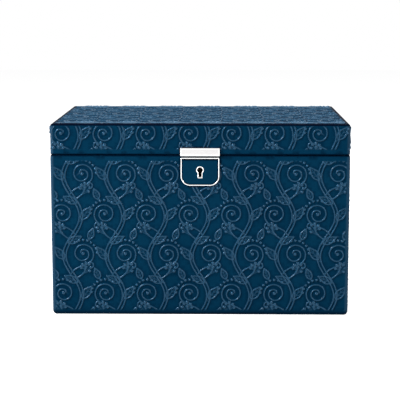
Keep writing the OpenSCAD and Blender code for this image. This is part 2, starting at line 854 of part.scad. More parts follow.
module strike_bar() {
    x = [-lock_w / 2, lock_w / 2];
    y = [-case_d / 2 - bar_t, -case_d / 2];
    z = [bar_bottom, bar_bottom + bar_h];
    color(bright) {
        difference() {
            intersection() {
                translate([0, 0, z[0]]) linear_extrude(z[1] - z[0]) polygon(bevelled(x, y, bar_bevel));
                plate_x(x) polygon([for (p = bevelled(z, y, bar_bevel)) [p[1], p[0]]]);
            }
            block([-lock_w / 2 - 1, lock_w / 2 + 1], [-case_d / 2 - bar_lip_gap, 0], [z[0] - 1, lid_bottom + rim_edge_r]);
        }
        bar_pins(0);
    }
}

module bar_pins(grow) {
    for (s = [-1, 1])
        rod_y(0.7 + grow, s * (lock_w / 2 - 4), [-case_d / 2 - eps, -board_y + 1.2 + grow], bar_bottom + bar_h * 0.6);
}

// Plate let into the lid's front rail
module strike_plate() {
    color(steel) difference() {
        block([-strike_w / 2, strike_w / 2], [selvage_front, -inner_y], [lid_bottom, lid_bottom + strike_t]);
        strike_screw_places() screw_room(screw_len, screw_r);
    }
}

// Staple that hangs from the plate into the lock case; the bolt passes through its window
module staple() {
    color(steel) difference() {
        block([staple_x, staple_x + staple_t], [staple_front, staple_back], [staple_bottom, lid_bottom]);
        block([staple_x - 1, staple_x + staple_t + 1],
              [bolt_front - window_clear, bolt_back + window_clear],
              [bolt_top - nose_h - window_rise, bolt_top + window_rise]);
    }
}

module strike_screw_places() {
    for (x = [staple_x - strike_screw_gap / 2 - strike_screw_gap, staple_x - strike_screw_gap / 2])
        translate([x, (selvage_front - inner_y) / 2, lid_bottom]) mirror([0, 0, 1]) children();
}

module strike_screws() {
    color(steel) strike_screw_places() wood_screw(screw_len, screw_r);
}

// ---------- Tray lift ----------

arm_bar_w = arm_w - 1;
stop_r = 2;
stop_along = 22;
open_angle = lid_opens - crank_angle;
// Centre of the stud that the raised arm leans on
stop_aside = arm_bar_w / 2 + stop_r + run_gap;
stop_y = arm_case_y - stop_along * cos(open_angle) + stop_aside * sin(open_angle);
stop_z = arm_case_z + stop_along * sin(open_angle) + stop_aside * cos(open_angle);

module tray_arm() {
    color(steel) difference() {
        union() {
            for (p = [[arm_case_y, arm_case_z], [arm_tray_y, arm_tray_z]])
                rod_x(arm_w / 2, [arm_x, arm_x + arm_t], p[0], p[1]);
            translate([arm_x, arm_case_y, arm_case_z]) rotate([crank_angle, 0, 0])
                translate([0, -crank, -arm_bar_w / 2]) cube([arm_t, crank, arm_bar_w]);
        }
        for (p = [[arm_case_y, arm_case_z], [arm_tray_y, arm_tray_z]])
            rod_x(stud_r + bore_clear, [arm_x - 1, arm_x + arm_t + 1], p[0], p[1]);
    }
}

// Studs in the side boards that carry the arms
module arm_studs() {
    color(steel) both_ends() {
        rod_x(head_r, [arm_x - run_gap - head_t, arm_x - run_gap], arm_case_y, arm_case_z);
        rod_x(stud_r, [arm_x - run_gap - eps, inner_x + eps], arm_case_y, arm_case_z);
        rod_x(head_r, [arm_x + arm_t + run_gap, inner_x], arm_case_y, arm_case_z);
        rod_x(stud_r + 0.4, [inner_x - eps, inner_x + 6], arm_case_y, arm_case_z);
    }
}

module arm_stops() {
    color(steel) both_ends() rod_x(stop_r, [arm_x, inner_x + 6], stop_y, stop_z);
}

// Studs in the tray's sides: one for the arm and one for the lid's bracket, on each side
module tray_studs() {
    color(steel) both_ends() for (p = [[arm_tray_y, arm_tray_z], [lid_pivot_y, lid_pivot_z]]) {
        rod_x(stud_r, [tray_x - tray_wall + 0.5, arm_x + arm_t + run_gap + eps], p[0], p[1]);
        rod_x(head_r, [tray_x, arm_x - run_gap], p[0], p[1]);
        rod_x(head_r, [arm_x + arm_t + run_gap, arm_x + arm_t + run_gap + head_t], p[0], p[1]);
    }
}

bracket_flange_h = 8;
bracket_flange_t = lining_t;
bracket_ear = 7;
bracket_lift = 0.2;
bracket_screw_len = 6;

function bracket_y_range(grow) =
    [lid_pivot_y - arm_w / 2 - bracket_ear - grow, lid_pivot_y + arm_w / 2 + bracket_ear + grow];

// Bent plate on the lid: its flange lies on the side rail, and its leg hangs down to the tray's stud
module tray_bracket() {
    flange_z = [lid_lining_bottom + bracket_lift, lid_lining_bottom + bracket_lift + bracket_flange_h];
    color(steel) difference() {
        union() {
            block([inner_x - bracket_flange_t, inner_x], bracket_y_range(0), flange_z);
            block([arm_x, inner_x], [lid_pivot_y - arm_w / 2, lid_pivot_y + arm_w / 2], [flange_z[0], flange_z[0] + arm_t]);
            block([arm_x, arm_x + arm_t], [lid_pivot_y - arm_w / 2, lid_pivot_y + arm_w / 2],
                  [lid_pivot_z, flange_z[0] + arm_t]);
            rod_x(arm_w / 2, [arm_x, arm_x + arm_t], lid_pivot_y, lid_pivot_z);
        }
        rod_x(stud_r + bore_clear, [arm_x - 1, arm_x + arm_t + 1], lid_pivot_y, lid_pivot_z);
        bracket_screw_places() screw_room(bracket_screw_len, screw_r);
    }
}

module bracket_screw_places() {
    for (s = [-1, 1])
        translate([inner_x - bracket_flange_t, lid_pivot_y + s * (arm_w + bracket_ear) / 2,
                   lid_lining_bottom + bracket_lift + bracket_flange_h / 2])
            rotate([0, -90, 0]) children();
}

module bracket_screws() {
    color(steel) both_ends() bracket_screw_places() wood_screw(bracket_screw_len, screw_r);
}

// ---------- Tray ----------

tray_z = [tray_bottom, tray_top];

module tray_long_wall(y) {
    color(suede) panel_x([-tray_x, tray_x], y, tray_z);
}

module tray_side_wall() {
    color(suede) difference() {
        panel_y([tray_x - tray_wall, tray_x], [tray_front_y + tray_wall, tray_back_y - tray_wall], tray_z);
        for (p = [[arm_tray_y, arm_tray_z], [lid_pivot_y, lid_pivot_z]])
            rod_x(stud_r + bore_clear, [tray_x - tray_wall + 0.4, tray_x + 1], p[0], p[1]);
    }
}

module tray_floor() {
    color(suede) block([-tray_x + tray_wall, tray_x - tray_wall],
                       [tray_front_y + tray_wall, tray_back_y - tray_wall], [tray_bottom, tray_bottom + tray_floor_t]);
}

// Suede that lines the tray's floor and walls
module tray_lining() {
    color(suede) difference() {
        block([-tray_x + tray_wall, tray_x - tray_wall],
              [tray_front_y + tray_wall, tray_back_y - tray_wall], [tray_bottom + tray_floor_t, tray_top - tray_wall / 2]);
        block([-bay_x, bay_x], [bay_front, bay_back], [bay_floor, tray_top]);
    }
}

// Dividers: the wall beside the rings, then one along the tray and one across it
module tray_dividers() {
    middle_x = (ring_wall_x + tray_divider_t + bay_x) / 2;
    middle_y = (bay_front + bay_back) / 2;
    color(suede) {
        panel_y([ring_wall_x, ring_wall_x + tray_divider_t], [bay_front, bay_back], [bay_floor, divider_top]);
        panel_x([ring_wall_x + tray_divider_t / 2, bay_x],
                [middle_y - tray_divider_t / 2, middle_y + tray_divider_t / 2], [bay_floor, divider_top]);
        panel_y([middle_x - tray_divider_t / 2, middle_x + tray_divider_t / 2],
                [bay_front, middle_y], [bay_floor, divider_top]);
    }
}

module ring_bed() {
    color(suede) block([-bay_x, ring_wall_x], [bay_front, bay_back], [bay_floor, roll_z - roll_d / 2 - rest_gap]);
}

module ring_rolls() {
    span = roll_count * roll_pitch - roll_gap;
    start = (bay_front + bay_back - span) / 2 + roll_d / 2;
    color(suede) for (i = [0 : roll_count - 1])
        rod_x(roll_d / 2, [-bay_x + roll_side_gap, ring_wall_x - roll_side_gap], start + i * roll_pitch, roll_z);
}

// ---------- Nodes ----------

front_board();
back_board();
mirror([1, 0, 0]) side_board();  // left_board
side_board();  // right_board
base_board();
body_leather();
base_felt();
floor_lining();
mirror([0, 1, 0]) long_lining();  // front_lining
long_lining();  // back_lining
mirror([1, 0, 0]) side_lining();  // left_lining
side_lining();  // right_lining
well_long_divider();
well_cross_dividers();
mirror([1, 0, 0]) tray_rest();  // tray_rest_left
tray_rest();  // tray_rest_right
lock_plate();
lock_inlay();
keyhole_rim();
lock_case();
lock_cap();
bolt_spring();
lock_screws();
key_hub();
lock_bolt();
body_hinge_leaves();
hinge_pins();
body_hinge_screws();
arm_studs();
arm_stops();
lid_top_board();
lid_front_rail();
lid_back_rail();
mirror([1, 0, 0]) lid_side_rail();  // lid_left_rail
lid_side_rail();  // lid_right_rail
lid_leather();
lid_pad_frame();
mirror_glass();  // mirror
lid_rim_linings();
strike_bar();
strike_plate();
staple();
strike_screws();
lid_hinge_leaves();
lid_hinge_screws();
mirror([1, 0, 0]) tray_bracket();  // tray_bracket_left
tray_bracket();  // tray_bracket_right
bracket_screws();
mirror([1, 0, 0]) tray_arm();  // tray_arm_left
tray_arm();  // tray_arm_right
tray_long_wall([tray_front_y, tray_front_y + tray_wall]);  // tray_front
tray_long_wall([tray_back_y - tray_wall, tray_back_y]);  // tray_back
mirror([1, 0, 0]) tray_side_wall();  // tray_left
tray_side_wall();  // tray_right
tray_floor();
tray_lining();
tray_dividers();
ring_bed();
ring_rolls();
tray_studs();
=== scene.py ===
import math

import bmesh
import bpy
import numpy as np
from mathutils import Matrix, Vector
from mathutils.geometry import delaunay_2d_cdt


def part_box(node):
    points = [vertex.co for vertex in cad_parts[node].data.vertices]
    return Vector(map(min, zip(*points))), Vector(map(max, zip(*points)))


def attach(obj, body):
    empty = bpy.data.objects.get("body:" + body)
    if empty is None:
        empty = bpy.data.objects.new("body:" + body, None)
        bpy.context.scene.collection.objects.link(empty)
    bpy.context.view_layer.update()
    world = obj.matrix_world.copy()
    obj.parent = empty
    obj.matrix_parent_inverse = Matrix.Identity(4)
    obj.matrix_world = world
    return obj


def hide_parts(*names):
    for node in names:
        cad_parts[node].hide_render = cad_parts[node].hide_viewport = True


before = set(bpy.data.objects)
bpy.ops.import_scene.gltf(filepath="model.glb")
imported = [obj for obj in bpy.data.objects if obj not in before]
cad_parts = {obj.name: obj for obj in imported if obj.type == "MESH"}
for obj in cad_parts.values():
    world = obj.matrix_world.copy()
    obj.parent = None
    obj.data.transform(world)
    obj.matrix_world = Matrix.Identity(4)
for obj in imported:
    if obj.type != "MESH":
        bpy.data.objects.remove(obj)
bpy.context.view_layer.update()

# A leather-covered jewellery case. Lengths are in metres, except for the lens, the sensor and the
# motifs of the pressed pattern, which are in millimetres.

MM = 0.001

# ---------- Sizes read from the frame ----------

HALF_W, HALF_D, BODY_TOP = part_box("body_leather")[1]
LID_BOTTOM, LID_TOP = (corner.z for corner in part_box("lid_leather"))
BOARD_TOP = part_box("front_board")[1].z
INNER_W, INNER_D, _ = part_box("base_board")[1]
FELT_W, FELT_D, FELT_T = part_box("base_felt")[1]
LOCK_CASE_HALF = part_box("lock_case")[1].x
STRIKE_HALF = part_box("strike_plate")[1].x

# ---------- Sizes of the leather ----------

CORNER_R = 3.5 * MM       # upright corners and the bottom edge
RIM_R = 0.7 * MM          # where the leather turns over a rim
LID_EDGE_R = 2.6 * MM     # top edge of the lid
RIM_LAP = 3.0 * MM        # how far a wall's leather reaches over the rim
TOP_LAP = 3.4 * MM        # how far the lid's bands reach over its top
RIM_EDGE = 0.02 * MM      # sliver of rim leather left in front of a notch
SEAM_REACH = 4.5 * MM     # how far the front and back leathers reach round the corners
SKIN_T = 0.5 * MM         # pared thickness of the leather at its edges
TURN_IN_T = 0.25 * MM     # thickness of the leather turned up inside the lid
TURN_IN_RISE = 0.02 * MM  # how far its lower edge lies above the lid's rim
TURN_IN_LAP = 0.2 * MM    # how far it reaches up past the linings' lower edge
TURN_IN_CELLS = (8, 12)   # its cells along the sides, and along the front and the back
HINGE_CUT = 2.4 * MM      # half the height of the gap left for a hinge barrel
HINGE_SIDE = 0.1 * MM     # room at each end of a hinge
STRIKE_ROOM = 0.1 * MM    # room at each end of the strike plate
FELT_ROOM = 0.2 * MM      # room round the felt
CORNER_SWELL = 0.8 * MM   # how far the smooth leather on an upright corner stands out
EDGE_SHADE_W = 2.6 * MM    # how far the painted shade on the lid's edges runs on over its top
CORNER_HIGHLIGHT = 0.26        # how light the painted highlight on an upright corner is
TOP_HIGHLIGHT = 0.6            # how light the painted highlight beside the lid's front and back edges is
JOINT_SHADE = 0.9           # how dark the painted shade is along the joint and round the trim
INLAY_SHADE = 0.8           # how dark the painted shade is at the inlay's edge
JOINT_SHADE_DEPTH = 1.35    # over 1, so that the painted shade is even at the joint before it fades
JOINT_SHADE_W = 1.1 * MM    # width over which it fades
BASE_SHADE = 0.6            # how dark the painted shade is along the bottom edge

# ---------- Sizes of the lock's trim ----------

PLATE_CORNER_R = 9 * MM
PLATE_TOP_R = 0.5 * MM
PLATE_RIM_W = 1.7 * MM
PLATE_RIM_H = 1.5 * MM
FRAME_BEAD_W = 1.5 * MM
KEY_R = 2.5 * MM
KEY_SLOT_HALF = 1.25 * MM
KEY_SLOT_REACH = 6.6 * MM
KEY_RIM_W = 1.3 * MM
KEY_RIM_H = 1.0 * MM
KEY_RIM_RISE = 0.55 * MM  # how far the line round the keyhole sits above the case's face
KEYHOLE_ROOM = 0.8 * MM   # how much larger the leather's keyhole is than the plate's
INLAY_RISE = 1.05 * MM    # how far the leather in the plate stands out from the case
INLAY_DROP = 0.25 * MM    # how much lower it is at its edge
INLAY_DROP_W = 1.6 * MM   # distance over which it drops
INLAY_PUFF = 0.12 * MM    # how much higher it is in its middle
INLAY_PUFF_W = 8 * MM     # distance over which it rises
INLAY_STEP = 0.8 * MM     # spacing of its mesh
INLAY_INSET = 0.75 * PLATE_RIM_W  # how far its outline lies inside the plate's edge
INLAY_HOLE_ROOM = 0.5 * KEY_RIM_W  # how much larger than the plate's keyhole its own is
INLAY_LOW, INLAY_HIGH = (-20 * MM, 120 * MM), (20 * MM, 155 * MM)  # corners of the area that the mesh covers
BAR_EDGE_R = 0.5 * MM
PANEL_EDGE = 1.2 * MM     # width of the bright rim round the bar's satin panel
PANEL_RISE = 0.05 * MM    # how far the panel stands out
PANEL_DEPTH = 0.3 * MM
PANEL_EDGE_R = 0.04 * MM

# ---------- The pressed pattern ----------

TILE_W = 40 * MM          # one repeat along a wall
TILE_H = 76 * MM          # one repeat up a wall
STEM_SWING = 8 * MM       # how far the stem swings from side to side
STEM_GAP = 1.5 * MM       # half the distance between the stem's two lines
LINE_HALF = 0.8 * MM      # half the width of a raised line
LINE_HEIGHT = 0.75 * MM
VEIN_HALF = 0.6 * MM
VEIN_HEIGHT = 0.4 * MM
BERRY_HEIGHT = 0.95 * MM
LINE_ROUNDNESS = 1.15     # power by which a line's height falls off towards its edge
BERRY_ROUNDNESS = 0.6     # the same for a berry
BESIDE_SHADE_AT = 1.4             # where the painted shade beside a line lies, in half widths from a line's middle
BESIDE_SHADE_WIDTH = 0.7          # distance over which it fades
BESIDE_SHADE_DEPTH = 1.2          # over 1, so that it is even in its middle
LINE_SHARES = (0, -0.55, 0.55, -1, 1, -1.55, 1.55)  # rows of mesh points, in half widths of a line
VEIN_SHARES = (0, -1, 1)
BERRY_RINGS = ((0.5, 6), (0.82, 9), (1.05, 9))      # rings of mesh points: share of the radius, count
COAT_ON_LINES = 0.28      # how glossy the raised lines are
PEARL_ON_LINES = 0.7      # how much they shine in the leather's own colour
PRESS_STEP = 1.15 * MM    # spacing of the mesh along a line
PLAIN_MARGIN = 4.4 * MM   # smooth leather beside the joint and the base
LID_PLAIN = 0.5 * LID_EDGE_R  # smooth leather below the lid's top
FADE = 1.6 * MM           # distance over which the pattern rises from the smooth leather
GRAIN_WOBBLE = 0.0012     # how uneven the cells of the leather's grain are

# Where an effect begins and ends, as two distances from the edge or corner that it belongs to

SEAM_PLAIN = (FADE, 0.5 * MM)                        # the pattern, before a wall's seam
CORNER_PLAIN = (1.3 * CORNER_R, 0.5 * CORNER_R)      # the pattern, before an upright corner
TOP_PLAIN = (1.2 * MM, 0.2 * MM)                     # the pattern, before the edges of the lid's top
SWELL_FOOT = (0.3 * CORNER_R, 1.2 * CORNER_R)        # a corner's swell, above the base
SWELL_HEAD = (2.4 * MM, 0.9 * MM)                    # a corner's swell, below the joint
TRIM_SHADE_W = (0.3 * MM, 1.7 * MM)                    # painted shade, from the outline of the trim
BASE_SHADE_H = (0.6 * CORNER_R, 1.7 * CORNER_R)        # painted shade, above the base
LID_SHADE_H = (2.2 * MM, 0.8 * MM)                     # painted shade, below the lid's top
HIGHLIGHT_FROM = (EDGE_SHADE_W, 2.4 * EDGE_SHADE_W)        # where the painted highlight strip on the lid's top begins
HIGHLIGHT_TO = (4 * EDGE_SHADE_W, 7 * EDGE_SHADE_W)        # where it ends
INLAY_SHADE_W = (0.5 * MM, 1.4 * MM)                   # painted shade, from the inlay's edge
INLAY_TOP_SHADE_W = (1.1 * MM, 2.3 * MM)               # painted shade, below the inlay's top

# ---------- Spacing of the sheets' meshes ----------

OUTLINE_STEP = 2 * MM     # along an outline
GRID_STEP = 4 * MM        # between the lines of the pattern
RIM_GRID_STEP = 6 * MM
TOP_GRID_STEP = 20 * MM
BEND_STEP = 3 * MM        # along the bends at the top and the bottom of a wall
CORNER_STEP = 0.7 * MM    # round an upright corner
CORNER_UP_STEP = 1.6 * MM  # up an upright corner
OUTLINE_CLEAR = 0.35 * MM  # least distance of a point from the outline
HOLE_CLEAR = 0.3 * MM     # least distance from a hole, and between two points
SAME_PLACE = 1e-9         # distance within which two points are one
SMALLEST_AREA = 1e-12     # twice the area below which a triangle is dropped

# ---------- Padded pieces and the mirror ----------

ROLL_COUNT = 7
ROLL_SIDES = 20
ROLL_SWELL = 0.9 * MM     # how far a ring roll may swell
ROLL_GROWTH = 0.04        # how much larger than the roll its fabric is cut
ROLL_SLACK = 0.6 * MM     # how much thinner than its place a roll is before it is filled
ROLL_EXTRA = 0.15 * MM    # how far past its place it may swell
ROLL_END = 5 * MM         # length of a roll's gathered end
# a gathered end: distances from the end, and shares of the radius there
ROLL_GATHERS = ((1.4 * MM, 0.25), (0.7 * MM, 0.6), (0.4 * MM, 0.88), (1.6 * MM, 1.0))
PAD_STEP = 4.2 * MM       # cell size of the fabric of a padded piece
PAD_SWELL = 1.7 * MM
PAD_GROWTH = 0.06
PAD_FACE = 0.5 * MM       # how far above the pad's lowest level its face is before it is filled
PAD_HOLE_LAP = 3 * MM     # how far the pad reaches over the mirror
SEAT_ROOM = 0.3 * MM      # room round the mirror in the pad
PAD_EDGES = (0.01, 0.995)  # where the pad's two edges lie, as shares of its width
PAD_INNER_DROP = 0.8 * MM  # how far its inner edge lies behind its face
PAD_OUTER_DROP = 0.3 * MM
LIP_SHARES = (0.4, 0.75)  # rings between the opening and the channel, as shares of that distance
FIELD_CELLS = 8           # cells between the channel and the outer edge
GLASS_GAP = 0.1 * MM      # between the mirror's face and the pad that reaches over it
SEAM_INSET = 7 * MM       # distance of the sewn channel from the mirror's opening
SEAM_DEPTH = 0.6 * MM
SEAM_CORNER_R = 1 * MM
STITCH = {"length": 2.6 * MM, "gap": 1.1 * MM, "thickness": 0.8 * MM}
STITCH_DROP = 0.45 * MM   # how far the stitches lie behind the pad's face
FILLING_PRESSURE = 30.0
FILLING_FRAMES = 20
MIRROR_BEVEL = 9 * MM
MIRROR_BEVEL_DROP = 0.5 * MM
PIPING_D = 2.0 * MM
PIPING_INSET = 0.4 * MM   # how far its middle lies inside the pad's opening
PIPING_CORNER_R = 2.5 * MM
PIPING_SINK = 0.05 * MM

# ---------- Camera and light ----------

LENS_MM = 117.0
SENSOR_MM = 36.0
CAMERA_PLACE = (0.019583, -1.303387, 0.300261)
CAMERA_TURN = (("Z", 0.932), ("X", -8.955), ("Y", 0.005), ("X", 90.0))  # degrees; the last is made first
LAMP_TARGET = (0, 0, 0.09)
LAMPS = (                 # name, place, size and watts
    ("key", (-1.05, -0.72, 1.0), (0.2, 0.25), 30),
    ("fill", (1.15, -0.9, 0.7), (0.3, 0.4), 8),
    ("top", (0.1, 0.5, 1.5), (1.2, 0.8), 12),
)
AMBIENT = 0.12            # even light from all round
BACKDROP = 1.0            # brightness at which the backdrop shows
FLOOR_GLOW = 0.87         # added to the lit floor where it is seen, so that it meets the backdrop
FLOOR_HALF = 4.0


# ---------- Meshes and objects ----------

def place_object(name, data):
    made = bpy.data.objects.new(name, data)
    bpy.context.scene.collection.objects.link(made)
    return made


def new_piece(name, points, faces=(), edges=()):
    mesh = bpy.data.meshes.new(name)
    mesh.from_pydata([tuple(map(float, p)) for p in points], edges, [list(map(int, f)) for f in faces])
    mesh.validate()
    return place_object(name, mesh)


def loop_edges(count, start=0):
    """The edges of a closed loop of points, numbered from start."""
    return [(start + k, start + (k + 1) % count) for k in range(count)]


def band_faces(first, second, around):
    """The faces between two rings of points, numbered from first and from second."""
    return [(a, second + a - first, second + b - first, b) for a, b in loop_edges(around, first)]


def path_object(name, outline):
    """A closed outline as a mesh of edges, drawn flat."""
    return new_piece(name, [(x, y, 0) for x, y in outline], edges=loop_edges(len(outline)))


def wire_object(name, lines):
    """Lines as a mesh of edges, for a node tree to measure distances to."""
    edges, start = [], 0
    for line in lines:
        edges += [(start + k, start + k + 1) for k in range(len(line) - 1)]
        start += len(line)
    return new_piece(name, [(x, z, 0) for x, z in np.vstack(lines)], edges=edges)


def store(piece, name, values):
    """Keeps a number for each point of a piece. The points past the last value get 0."""
    full = np.zeros(len(piece.data.vertices), np.float32)
    full[:len(values)] = values
    piece.data.attributes.new(name, "FLOAT", "POINT").data.foreach_set("value", full)


def stored(piece, name):
    values = np.zeros(len(piece.data.vertices), np.float32)
    piece.data.attributes[name].data.foreach_get("value", values)
    return values


def places(mesh):
    values = np.zeros(len(mesh.vertices) * 3, np.float32)
    mesh.vertices.foreach_get("co", values)
    return values.reshape(-1, 3)


def finish_piece(piece, body, material, replaces=()):
    """Gives a finished piece its material and its body, and hides the CAD nodes that it stands for."""
    piece.data.materials.clear()
    piece.data.materials.append(material)
    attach(piece, body)
    if replaces:
        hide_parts(*replaces)
    return piece


def shade_smooth(piece):
    piece.data.polygons.foreach_set("use_smooth", [True] * len(piece.data.polygons))
    piece.data.update()


def mend_normals(piece):
    form = bmesh.new()
    form.from_mesh(piece.data)
    bmesh.ops.recalc_face_normals(form, faces=form.faces[:])
    form.to_mesh(piece.data)
    form.free()


# ---------- Lines and outlines ----------

def smoothstep(low, high, value):
    t = np.clip((value - low) / (high - low), 0, 1)
    return t * t * (3 - 2 * t)


def fade_before(end, distances, value):
    """1, and then falling to 0 between two distances before the end."""
    return 1 - smoothstep(end - distances[0], end - distances[1], value)


def resample(points, step):
    """The same line with evenly spaced points."""
    points = np.asarray(points, float)
    lengths = np.r_[0, np.cumsum(np.linalg.norm(np.diff(points, axis=0), axis=1))]
    count = max(2, int(round(lengths[-1] / step)) + 1)
    at = np.linspace(0, lengths[-1], count)
    return np.stack([np.interp(at, lengths, points[:, k]) for k in range(points.shape[1])], axis=1)


def bezier(p0, p1, p2, p3, count=24):
    t = np.linspace(0, 1, count)[:, None]
    p0, p1, p2, p3 = (np.array(p, float) for p in (p0, p1, p2, p3))
    return (1 - t) ** 3 * p0 + 3 * (1 - t) ** 2 * t * p1 + 3 * (1 - t) * t * t * p2 + t ** 3 * p3


def inside_polygon(points, polygon):
    """True for each point inside a closed outline."""
    x, y = points[:, 0], points[:, 1]
    inside = np.zeros(len(points), bool)
    for (x0, y0), (x1, y1) in zip(polygon, np.roll(polygon, -1, axis=0)):
        crosses = (y0 > y) != (y1 > y)
        if y1 != y0:
            inside ^= crosses & (x < (x1 - x0) * (y - y0) / (y1 - y0) + x0)
    return inside


def distance_to_outline(points, polygon):
    best = np.full(len(points), np.inf)
    for a, b in zip(polygon, np.roll(polygon, -1, axis=0)):
        along = b - a
        t = np.clip(((points - a) @ along) / max(along @ along, 1e-18), 0, 1)
        best = np.minimum(best, np.linalg.norm(points - (a + t[:, None] * along), axis=1))
    return best


def split_outline(polygon, step):
    """The outline's corners with evenly spaced points between them."""
    out = []
    for a, b in zip(polygon, np.roll(polygon, -1, axis=0)):
        count = max(1, int(math.ceil(np.linalg.norm(b - a) / step)))
        out.extend(a + (b - a) * k / count for k in range(count))
    return np.array(out)


def notched_rectangle(half, low, high, low_notches=(), high_notches=()):
    """A rectangle's outline, with notches in its lower or upper edge: (from, to, level reached)."""
    corners = [(-half, low)]
    for a, b, level in sorted(low_notches):
        corners += [(a, low), (a, level), (b, level), (b, low)]
    corners += [(half, low), (half, high)]
    for a, b, level in sorted(high_notches, reverse=True):
        corners += [(b, high), (b, level), (a, level), (a, high)]
    corners.append((-half, high))
    return np.array(corners, float)


def rounded_outline(half, low, high, low_r, high_r, arc_points):
    """A rectangle with one radius at its lower corners and one at its upper ones."""
    out = []
    for side, y, r, start in ((1, low + low_r, low_r, -90), (1, high - high_r, high_r, 0),
                              (-1, high - high_r, high_r, 90), (-1, low + low_r, low_r, 180)):
        for turn in np.radians(np.linspace(start, start + 90, arc_points)):
            out.append((side * (half - r) + r * math.cos(turn), y + r * math.sin(turn)))
    return np.array(out)


def rectangle(x0, y0, x1, y1):
    return np.array([(x0, y0), (x1, y0), (x1, y1), (x0, y1)], float)


def lattice(s_values, v_values):
    s, v = np.meshgrid(s_values, v_values)
    return np.stack([s.ravel(), v.ravel()], axis=1)


def spaced(low, high, step):
    return np.linspace(low, high, max(2, int(math.ceil((high - low) / step)) + 1))


# ---------- Node trees ----------

class Tree:
    """A node tree under construction."""

    def __init__(self, tree):
        self.tree = tree

    def feed(self, socket, value):
        """Links an output to a socket, or sets the socket to a plain value."""
        if isinstance(value, bpy.types.NodeSocket):
            self.tree.links.new(value, socket)
        else:
            socket.default_value = value

    def node(self, kind, inputs=(), **settings):
        """A new node with its settings. Its inputs are fed by name or by number."""
        node = self.tree.nodes.new(kind)
        for name, value in settings.items():
            setattr(node, name, value)
        for name, value in dict(inputs).items():
            self.feed(node.inputs[name], value)
        return node

    def math(self, operation, *values, clamp=False):
        return self.node("ShaderNodeMath", enumerate(values), operation=operation, use_clamp=clamp).outputs[0]

    def vector(self, x, y, z):
        return self.node("ShaderNodeCombineXYZ", enumerate((x, y, z))).outputs[0]

    def between(self, share, low, high):
        """A number between low and high."""
        node = self.node("ShaderNodeMapRange", {"Value": share, "To Min": low, "To Max": high})
        return node.outputs["Result"]

    def noise(self, vector, scale, **inputs):
        node = self.node("ShaderNodeTexNoise", {"Vector": vector, "Scale": scale, **inputs})
        return node.outputs["Fac"]

    def drawn_out(self, vector, stretch):
        """Coordinates in which a pattern is drawn out along X."""
        size = self.vector(stretch, 1.0, 1.0)
        return self.node("ShaderNodeVectorMath", {0: vector, 1: size}, operation="DIVIDE").outputs[0]

    def seen_directly(self):
        """1 for rays from the camera, from gloss and through glass."""
        ray = self.node("ShaderNodeLightPath").outputs
        seen = self.math("MAXIMUM", ray["Is Camera Ray"], ray["Is Glossy Ray"])
        return self.math("MAXIMUM", seen, ray["Is Transmission Ray"])

    def end(self, outputs):
        self.node("NodeGroupOutput", outputs)
        return self.tree


def new_group(name, family, inputs, outputs):
    """A node group and its inputs. An input is given by its default, or by its kind if it has none."""
    group = bpy.data.node_groups.new(name, family)
    for label, value in inputs.items():
        kind = value if isinstance(value, str) else type(value).__name__.title()
        socket = group.interface.new_socket(label, in_out="INPUT", socket_type="NodeSocket" + kind)
        if kind != value:
            socket.default_value = value
    for label, kind in outputs.items():
        group.interface.new_socket(label, in_out="OUTPUT", socket_type="NodeSocket" + kind)
    t = Tree(group)
    return t, t.node("NodeGroupInput").outputs


# ---------- Trees that shape a piece ----------

def new_form(name, inputs):
    """A geometry node tree: geometry and a material come in besides the given inputs."""
    inputs = {"Geometry": "Geometry", **inputs, "Material": "Material"}
    return new_group(name, "GeometryNodeTree", inputs, {"Geometry": "Geometry"})


def end_form(t, geometry, given):
    """Realize Instances and Set Material, which end every form's tree."""
    real = t.node("GeometryNodeRealizeInstances", {0: geometry}).outputs[0]
    paint = t.node("GeometryNodeSetMaterial", {"Geometry": real, "Material": given["Material"]})
    return t.end({0: paint.outputs[0]})


def apply_form(piece, tree, **values):
    """Runs a tree on a piece with the named values, and leaves a plain mesh."""
    modifier = piece.modifiers.new(tree.name, "NODES")
    modifier.node_group = tree
    for item in tree.interface.items_tree:
        label = item.name.replace(" ", "_").lower()
        if item.item_type == "SOCKET" and item.in_out == "INPUT" and label in values:
            modifier[item.identifier] = values[label]
    bpy.context.view_layer.update()
    graph = bpy.context.evaluated_depsgraph_get()
    shaped = piece.evaluated_get(graph)
    result = bpy.data.meshes.new_from_object(shaped, preserve_all_data_layers=True, depsgraph=graph)
    piece.modifiers.remove(modifier)
    piece.data = result


